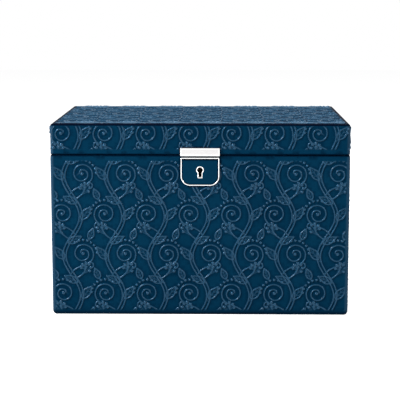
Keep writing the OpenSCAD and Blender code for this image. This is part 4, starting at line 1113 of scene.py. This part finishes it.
def wall_leather(name, part, half_len, half_dep, turn, wide, notches=(), holes=(), trims=()):
    """One wall's leather, on the body or on the lid. Painted shade runs along the outlines in trims."""
    is_body = part == "case"
    z_low, z_high = (0.0, BODY_TOP) if is_body else (LID_BOTTOM, LID_TOP)
    r_low, r_high = (CORNER_R, RIM_R) if is_body else (RIM_R, LID_EDGE_R)
    v_low = z_low - (CORNER_R if is_body else RIM_LAP)
    v_high = z_high + (RIM_LAP if is_body else TOP_LAP)
    s_reach = half_len + SEAM_REACH if wide else half_len - SEAM_REACH
    cuts = {"high_notches" if is_body else "low_notches": notches}
    outline = notched_rectangle(s_reach, v_low, v_high, **cuts)
    plain_high = z_high - (PLAIN_MARGIN if is_body else LID_PLAIN)

    def place(flat, lift):
        s, v = flat.T
        if is_body and wide:
            upright = smoothstep(*SWELL_FOOT, v) * fade_before(z_high, SWELL_HEAD, v)
            lift = lift + CORNER_SWELL * corner_band(s, half_len) * upright
        return wrap(flat, lift, (half_len, half_dep, turn), (z_low, z_high, r_low, r_high))

    def press(s, v):
        share = smoothstep(z_low + PLAIN_MARGIN, z_low + PLAIN_MARGIN + FADE, v)
        share *= fade_before(plain_high, (FADE, 0), v)
        share *= fade_before(s_reach, SEAM_PLAIN, np.abs(s))
        if wide and is_body:
            share *= fade_before(half_len, CORNER_PLAIN, np.abs(s))
        return share

    # painted light on a wall: a painted highlight on an upright corner, and painted shade along the joint,
    # round the trims, along the base and below the lid's top
    def worn(s, v):
        corner = corner_band(s, half_len) if wide else np.zeros_like(s)
        joint = z_high if is_body else z_low
        dark = JOINT_SHADE * np.clip(JOINT_SHADE_DEPTH - np.abs(v - joint) / JOINT_SHADE_W, 0, 1)
        for trim in trims:
            beside = distance_to_outline(np.stack([s, v], axis=1), trim)
            dark = np.maximum(dark, JOINT_SHADE * (1 - smoothstep(*TRIM_SHADE_W, beside)))
        if is_body:
            dark = np.maximum(dark, BASE_SHADE * (1 - smoothstep(*BASE_SHADE_H, v)))
        else:
            dark = np.maximum(dark, 1 - fade_before(z_high, LID_SHADE_H, v))
        return CORNER_HIGHLIGHT * corner * (1 - dark), dark

    def over_bends(across):
        return [lattice(across, spaced(level - r, level + r, r / 4))
                for level, r in ((z_low, r_low), (z_high, r_high))]

    curved = over_bends(spaced(-s_reach, s_reach, BEND_STEP))
    for side in (-1, 1) if wide else ():
        across = spaced(side * half_len - CORNER_R, side * half_len + CORNER_R, CORNER_STEP)
        curved += [lattice(across, spaced(v_low, v_high, CORNER_UP_STEP)), *over_bends(across)]
    return pressed_sheet(name, outline, list(holes), place, press, np.vstack(curved), worn, part)


def make_walls():
    """All the upright leather: four walls on the body and four bands on the lid."""
    spans = hinge_spans()
    low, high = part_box("hinge_pins")
    axis_z = (low.z + high.z) / 2
    wide, deep = (HALF_W, HALF_D), (HALF_D, HALF_W)
    front = wall_leather("body_front_leather", "case", *wide, FRONT, True,
                         holes=[keyhole_outline(KEYHOLE_ROOM)], trims=[shield_outline(0)])
    wall_leather("body_right_leather", "case", *deep, RIGHT, False)
    wall_leather("body_back_leather", "case", *wide, BACK, True,
                 notches=[(a, b, axis_z - HINGE_CUT) for a, b in spans])
    wall_leather("body_left_leather", "case", *deep, LEFT, False)
    lid_front = wall_leather("lid_front_leather", "lid", *wide, FRONT, True, trims=[bar_outline()])
    wall_leather("lid_right_leather", "lid", *deep, RIGHT, False)
    wall_leather("lid_back_leather", "lid", *wide, BACK, True,
                 notches=[(a, b, axis_z + HINGE_CUT) for a, b in spans])
    wall_leather("lid_left_leather", "lid", *deep, LEFT, False)
    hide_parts("body_leather")
    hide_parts("lid_leather")


def make_lid_top():
    """The leather on top of the lid. Its pattern runs on from the front."""
    half_x, half_y = HALF_W - TOP_LAP, HALF_D - TOP_LAP
    start = LID_TOP + HALF_D

    def place(flat, lift):
        return np.stack([flat[:, 0], flat[:, 1] - start, np.full(len(flat), LID_TOP) + lift], axis=1)

    def press(s, v):
        return fade_before(half_x, TOP_PLAIN, np.abs(s)) * fade_before(half_y, TOP_PLAIN, np.abs(v - start))

    # painted light on the lid's top: painted shade at its edges, and a painted highlight strip beside its
    # front and back edges
    def worn(s, v):
        from_front = half_y - np.abs(v - start)
        dark = 1 - smoothstep(0, EDGE_SHADE_W, np.minimum(half_x - np.abs(s), from_front))
        light = smoothstep(*HIGHLIGHT_FROM, from_front) * (1 - dark)
        return TOP_HIGHLIGHT * light * (1 - smoothstep(*HIGHLIGHT_TO, from_front)), dark

    outline = rectangle(-half_x, start - half_y, half_x, start + half_y)
    coarse = lattice(spaced(-half_x, half_x, TOP_GRID_STEP),
                     spaced(start - half_y, start + half_y, TOP_GRID_STEP))
    pressed_sheet("lid_top_leather", outline, [], place, press, coarse, worn, "lid")


def flat_ring(name, outer, inner, front_cuts, back_cuts, level, facing, thickness, body):
    """Leather lying flat round an opening, with cuts in the front and the back of the opening."""
    outline = rectangle(-outer[0], -outer[1], outer[0], outer[1])
    reach = outer[1] - RIM_EDGE
    hole = notched_rectangle(inner[0], -inner[1], inner[1], [(a, b, -reach) for a, b in front_cuts],
                             [(a, b, reach) for a, b in back_cuts])
    grid = lattice(spaced(-outer[0], outer[0], RIM_GRID_STEP), spaced(-outer[1], outer[1], RIM_GRID_STEP))
    flat, faces, loops = sheet_mesh(outline, [hole], grid, 2 * OUTLINE_STEP)
    top = np.c_[flat[:, 0], flat[:, 1] * facing, np.full(len(flat), level)]
    piece = close_shell(name, top, faces, loops, top - (0, 0, facing * thickness))
    return finish_piece(piece, body, plain_leather)


def make_rims():
    """Leather on the rims of the body and the lid, and the leather turned under the base."""
    spans = hinge_spans()
    pared = BODY_TOP - BOARD_TOP
    outer, inner = (HALF_W - RIM_LAP, HALF_D - RIM_LAP), (INNER_W, INNER_D)
    strike_half = STRIKE_HALF + STRIKE_ROOM
    flat_ring("body_rim_leather", outer, inner, [(-LOCK_CASE_HALF, LOCK_CASE_HALF)], spans,
              BODY_TOP, 1, pared, "case")
    # the lid's rim is drawn face up and turned over, so its front is the back of the drawing
    flat_ring("lid_rim_leather", outer, inner, spans, [(-strike_half, strike_half)],
              LID_BOTTOM, -1, pared, "lid")
    flat_ring("base_turn_in", (HALF_W - CORNER_R, HALF_D - CORNER_R),
              (FELT_W + FELT_ROOM, FELT_D + FELT_ROOM), [], [], 0.0, -1, FELT_T, "case")


# ---------- Lock trim ----------

def rounded_box(name, low, high, radius, segments=3):
    form = bmesh.new()
    bmesh.ops.create_cube(form, size=1.0)
    for vert in form.verts:
        vert.co = Vector([(a + b) / 2 + c * (b - a) for a, b, c in zip(low, high, vert.co)])
    bmesh.ops.bevel(form, geom=form.edges[:], offset=radius, segments=segments, profile=0.5, affect="EDGES")
    mesh = bpy.data.meshes.new(name)
    form.to_mesh(mesh)
    form.free()
    piece = place_object(name, mesh)
    shade_smooth(piece)
    piece.modifiers.new("even_shading", "WEIGHTED_NORMAL").keep_sharp = True
    return piece


def bead(name, outline, width, height, material, sides=16):
    """A closed bead along an outline drawn flat, in the XY plane."""
    piece = path_object(name, outline)
    apply_form(piece, BEAD, width=width, height=height, sides=sides, material=material)
    shade_smooth(piece)
    return piece


def make_bar():
    """The bright bar on the lid's front, with a satin panel in it."""
    low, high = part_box("strike_bar")
    bar = rounded_box("lock_bar", low, high, BAR_EDGE_R)
    finish_piece(bar, "lid", polished_nickel, ["strike_bar"])
    panel_low = (low.x + PANEL_EDGE, low.y - PANEL_RISE, low.z + PANEL_EDGE)
    panel_high = (high.x - PANEL_EDGE, low.y + PANEL_DEPTH, high.z - PANEL_EDGE)
    panel = rounded_box("lock_bar_panel", panel_low, panel_high, PANEL_EDGE_R, segments=1)
    finish_piece(panel, "lid", brushed_nickel)


def make_bright_lines():
    """The raised frame of the lock plate and the line round the keyhole."""
    frame_line = bead("lock_frame", shield_outline(PLATE_RIM_W / 2), FRAME_BEAD_W, PLATE_RIM_H,
                      polished_nickel)
    key_line = bead("keyhole_bead", keyhole_outline(KEY_RIM_W / 2, arc_points=25), KEY_RIM_W, KEY_RIM_H,
                    polished_nickel, sides=12)
    for piece, rise, node in ((frame_line, 0, "lock_plate"), (key_line, KEY_RIM_RISE, "keyhole_rim")):
        to_front = Matrix.Translation((0, -HALF_D - rise, 0)) @ Matrix.Rotation(math.pi / 2, 4, "X")
        piece.data.transform(to_front)
        finish_piece(piece, "case", polished_nickel, [node])


def make_inlay():
    """The leather inside the lock plate's frame."""
    outline, hole = shield_outline(INLAY_INSET), keyhole_outline(INLAY_HOLE_ROOM)
    grid = lattice(*(spaced(low, high, INLAY_STEP) for low, high in zip(INLAY_LOW, INLAY_HIGH)))
    flat, faces, loops = sheet_mesh(outline, [hole], grid, OUTLINE_STEP / 2)
    edge = distance_to_outline(flat, outline)
    drop = INLAY_DROP * (1 - smoothstep(0, INLAY_DROP_W, edge))
    rise = INLAY_RISE - drop + INLAY_PUFF * smoothstep(0, INLAY_PUFF_W, edge)
    top = np.c_[flat[:, 0], -HALF_D - rise, flat[:, 1]]
    back = np.c_[flat[:, 0], np.full(len(flat), -HALF_D), flat[:, 1]]
    inlay = close_shell("lock_inlay_leather", top, faces, loops, back)
    # painted shade at the inlay's edge and below its top, standing for the shadow of the frame's rim
    below_top = outline[:, 1].max() - flat[:, 1]
    store(inlay, "dark_edge", np.maximum(INLAY_SHADE * (1 - smoothstep(*INLAY_SHADE_W, edge)),
                                         1 - smoothstep(*INLAY_TOP_SHADE_W, below_top)))
    finish_piece(inlay, "case", case_leather, ["lock_inlay"])


# ---------- Padded pieces and the mirror ----------

def swell(piece, held, limit, growth):
    """Cuts a closed form's fabric larger by growth and fills it by pressure. Points in held stay where
    they are, and no point moves past limit."""
    seams = piece.vertex_groups.new(name="seams")
    seams.add([int(k) for k in np.flatnonzero(held)], 1.0, "REPLACE")
    filling = piece.modifiers.new("filling", "CLOTH")
    filling.settings.use_pressure = True
    filling.settings.uniform_pressure_force = FILLING_PRESSURE
    filling.settings.shrink_min = -growth
    filling.settings.effector_weights.gravity = 0.0
    filling.settings.vertex_group_mass = "seams"
    filling.point_cache.frame_start, filling.point_cache.frame_end = 1, FILLING_FRAMES
    for step in range(1, FILLING_FRAMES + 1):
        bpy.context.scene.frame_set(step)
    filled = piece.evaluated_get(bpy.context.evaluated_depsgraph_get())
    before = places(piece.data)
    moved = places(filled.to_mesh()) - before
    filled.to_mesh_clear()
    far = np.linalg.norm(moved, axis=1, keepdims=True)
    moved *= limit * np.tanh(far / limit) / np.maximum(far, 1e-9)
    piece.modifiers.remove(filling)
    piece.vertex_groups.remove(seams)
    piece.data.vertices.foreach_set("co", (before + moved).ravel())
    piece.data.update()
    bpy.context.scene.frame_set(1)


def soften(piece):
    shade_smooth(piece)
    smooth = piece.modifiers.new("softened", "SUBSURF")
    smooth.levels = smooth.render_levels = 1


def frame_grid(stations, counts):
    """A mitred rectangular frame. Each station is (half width, half depth, z) of a rectangle round
    it, and counts are its cells along the sides, and along the front and the back."""
    points = []
    for half_x, half_y, z in stations:
        corners = rectangle(-half_x, -half_y, half_x, half_y)[[1, 2, 3, 0, 1]]
        for k, count in enumerate(counts * 2):
            a, b = corners[k], corners[k + 1]
            points += [(*(a + (b - a) * j / count), z) for j in range(count)]
    around = 2 * sum(counts)
    faces = []
    for first, second in loop_edges(len(stations)):
        a, b = first * around, second * around
        faces += [(a + k, a + n, b + n, b + k) for k, n in loop_edges(around)]
    return points, faces, around


def rounded_rectangle(half_x, half_y, r):
    return split_outline(rounded_outline(half_x, -half_y, half_y, r, r, arc_points=7), 2 * OUTLINE_STEP)


def make_lid_turn_in():
    """The lid's leather, turned up inside its opening as far as the linings."""
    low, high = LID_BOTTOM + TURN_IN_RISE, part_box("lid_rim_linings")[0].z + TURN_IN_LAP
    inner = (INNER_W - TURN_IN_T, INNER_D - TURN_IN_T)
    stations = [(INNER_W, INNER_D, low), (INNER_W, INNER_D, high), (*inner, high), (*inner, low)]
    points, faces, _ = frame_grid(stations, TURN_IN_CELLS)
    piece = new_piece("lid_turn_in", points, faces)
    mend_normals(piece)
    finish_piece(piece, "lid", plain_leather)


def make_mirror_pad():
    """The padded suede frame round the mirror. It has a sewn channel with stitches in it, and piping
    at its opening."""
    low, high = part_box("lid_pad_frame")
    glass_low, glass_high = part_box("mirror")
    hole_x, hole_y = glass_high.x - PAD_HOLE_LAP, glass_high.y - PAD_HOLE_LAP
    wide, deep = high.x - hole_x, high.y - hole_y
    face, lap_z = low.z + PAD_FACE, glass_low.z - GLASS_GAP
    seat = (glass_high.x + SEAT_ROOM, glass_high.y + SEAT_ROOM)
    channel = SEAM_INSET / deep

    def station(share, z):
        return hole_x + wide * share, hole_y + deep * share, z

    inner_edge, outer_edge = PAD_EDGES
    back = [station(outer_edge, high.z), (*seat, high.z), (*seat, lap_z), station(inner_edge, lap_z),
            station(inner_edge, face + PAD_INNER_DROP)]
    lip = [station(channel * share, face) for share in LIP_SHARES]
    field = [station(share, face) for share in np.linspace(channel, 1, FIELD_CELLS + 1)[1:-1]]
    stations = [*back, *lip, station(channel, face + SEAM_DEPTH), *field,
                station(outer_edge, face + PAD_OUTER_DROP)]
    held_rings = [*range(len(back)), len(back) + len(lip), len(stations) - 1]
    counts = [int(round(2 * hole_y / PAD_STEP)), int(round(2 * hole_x / PAD_STEP))]
    points, faces, around = frame_grid(stations, counts)
    pad = new_piece("mirror_pad", points, faces)
    mend_normals(pad)
    ring, place = np.divmod(np.arange(len(points)), around)
    mitres = np.cumsum([0, *counts, counts[0]])
    swell(pad, np.isin(ring, held_rings) | np.isin(place, mitres), PAD_SWELL, PAD_GROWTH)
    soften(pad)
    finish_piece(pad, "lid", pad_suede, ["lid_pad_frame"])

    seam = rounded_rectangle(hole_x + SEAM_INSET * wide / deep, hole_y + SEAM_INSET, SEAM_CORNER_R)
    path = path_object("mirror_pad_stitches", seam)
    apply_form(path, STITCHES, **STITCH, material=thread)
    path.data.transform(Matrix.Translation((0, 0, face + STITCH_DROP)))
    shade_smooth(path)
    finish_piece(path, "lid", thread)

    edge = rounded_rectangle(hole_x + PIPING_INSET, hole_y + PIPING_INSET, PIPING_CORNER_R)
    cord = bead("mirror_piping", edge, PIPING_D, PIPING_D / 2, plain_leather, sides=12)
    cord.data.transform(Matrix.Translation((0, 0, glass_low.z - PIPING_D / 2 + PIPING_SINK)))
    finish_piece(cord, "lid", plain_leather)


def make_mirror_glass():
    """A plate of mirror with a wide, shallow bevel round its face."""
    low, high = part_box("mirror")
    points = []
    for inset, z in ((0, high.z), (0, low.z + MIRROR_BEVEL_DROP), (MIRROR_BEVEL, low.z)):
        ring = rectangle(low.x + inset, low.y + inset, high.x - inset, high.y - inset)
        points += [(x, y, z) for x, y in ring]
    faces = [(0, 1, 2, 3), (11, 10, 9, 8), *band_faces(0, 4, 4), *band_faces(4, 8, 4)]
    glass = new_piece("mirror_plate", points, faces)
    mend_normals(glass)
    finish_piece(glass, "lid", mirror_silver, ["mirror"])


def make_ring_rolls():
    """One stuffed roll with gathered ends, repeated across the tray."""
    low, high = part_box("ring_rolls")
    radius = (high.z - low.z) / 2
    pitch = (high.y - low.y - 2 * radius) / (ROLL_COUNT - 1)
    start_r = radius - ROLL_SLACK
    centre = np.array([low.y + radius, (low.z + high.z) / 2])
    stations = [(low.x + inset, share) for inset, share in ROLL_GATHERS]
    stations += [(x, 1.0) for x in spaced(low.x + ROLL_END, high.x - ROLL_END, PAD_STEP)]
    stations += [(low.x + high.x - x, share) for x, share in reversed(stations[:len(ROLL_GATHERS)])]
    turns = np.arange(ROLL_SIDES) * 2 * math.pi / ROLL_SIDES - math.pi / 2
    points = [(x, *(centre + start_r * share * np.array([math.cos(t), math.sin(t)])))
              for x, share in stations for t in turns]
    last = len(stations) - 1
    faces = []
    for ring in range(last):
        faces += band_faces(ring * ROLL_SIDES, (ring + 1) * ROLL_SIDES, ROLL_SIDES)
    for end, ring in enumerate((0, last)):
        middle = (last + 1) * ROLL_SIDES + end
        faces += [(middle, k, n) for k, n in loop_edges(ROLL_SIDES, ring * ROLL_SIDES)]
        points.append((stations[ring][0], *centre))
    roll = new_piece("ring_roll_row", points, faces)
    mend_normals(roll)
    ring, side = np.divmod(np.arange(len(points)), ROLL_SIDES)
    gathered = np.isin(ring, (0, 2, last - 2, last)) | (side == 0)
    gathered[-2:] = True
    swell(roll, gathered, ROLL_SWELL, ROLL_GROWTH)
    at = places(roll.data)
    out = at[:, 1:] - centre
    reach = np.linalg.norm(out, axis=1, keepdims=True)
    at[:, 1:] = centre + out * np.minimum(1, (radius + ROLL_EXTRA) / np.maximum(reach, 1e-9))
    at[:, 0] = np.clip(at[:, 0], low.x, high.x)
    roll.data.vertices.foreach_set("co", at.ravel())
    apply_form(roll, ROW, count=ROLL_COUNT, spacing=pitch, material=pad_suede)
    soften(roll)
    finish_piece(roll, "tray", pad_suede, ["ring_rolls"])


# ---------- Finishes of the CAD nodes ----------

# A node gets the first finish that has a word of its name. Where that is None, as for the bolt,
# which wears the frame's plain brass, it keeps its own.
NODE_FINISHES = (
    # blackened steel is the finish of the lock's inner parts; on the key hub behind the keyhole it is also
    # painted shade for the hole's dark depth
    (blackened_steel, ("key_hub", "lock_cap", "bolt_spring")),
    (base_felt_finish, ("base_felt",)),
    (None, ("lock_bolt",)),
    (fibreboard, ("board", "rail")),
    (stone_suede, ("lining", "divider", "rest_", "pad", "ring_", "tray_front", "tray_back", "tray_left",
                   "tray_right", "tray_floor")),
    (satin_nickel, ("",)),
)


def dress_nodes():
    for name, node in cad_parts.items():
        finish = next(finish for finish, words in NODE_FINISHES if any(word in name for word in words))
        if finish:
            node.data.materials.clear()
            node.data.materials.append(finish)


# ---------- Camera, light and floor ----------

def place_camera():
    data = bpy.data.cameras.new("camera")
    data.sensor_width, data.lens, data.clip_end = SENSOR_MM, LENS_MM, 20.0
    camera = place_object("camera", data)
    turn = Matrix.Identity(4)
    for axis, degrees in CAMERA_TURN:
        turn = turn @ Matrix.Rotation(math.radians(degrees), 4, axis)
    camera.matrix_world = Matrix.Translation(CAMERA_PLACE) @ turn
    bpy.context.scene.camera = camera


def light_scene():
    world = bpy.data.worlds.new("studio")
    bpy.context.scene.world = world
    world.use_nodes = True
    t = Tree(world.node_tree)
    backdrop = t.tree.nodes["Background"].inputs
    t.feed(backdrop["Strength"], t.between(t.seen_directly(), AMBIENT, BACKDROP))
    t.feed(backdrop["Color"], (1, 1, 1, 1))
    for name, place, size, watts in LAMPS:
        data = bpy.data.lights.new(name, "AREA")
        data.shape = "RECTANGLE"
        data.size, data.size_y = size
        data.energy = watts
        lamp = place_object(name, data)
        lamp.location = place
        lamp.rotation_euler = (Vector(LAMP_TARGET) - Vector(place)).to_track_quat("-Z", "Y").to_euler()


def lay_floor():
    corners = rectangle(-FLOOR_HALF, -FLOOR_HALF, FLOOR_HALF, FLOOR_HALF)
    piece = new_piece("floor", [(x, y, 0) for x, y in corners], [(0, 1, 2, 3)])
    f = Finish("floor_paper")
    f.set(Base_Color=(0.80, 0.80, 0.80, 1), Roughness=0.9, Specular_IOR_Level=0.0,
          Emission_Color=(1, 1, 1, 1), Emission_Strength=f.between(f.seen_directly(), 0.0, FLOOR_GLOW))
    piece.data.materials.append(f.material)


def main():
    bpy.context.scene.view_settings.view_transform = "Standard"
    place_camera()
    light_scene()
    lay_floor()
    dress_nodes()
    make_walls()
    make_lid_top()
    make_rims()
    make_bar()
    make_bright_lines()
    make_inlay()
    make_lid_turn_in()
    make_mirror_glass()
    make_mirror_pad()
    make_ring_rolls()


main()
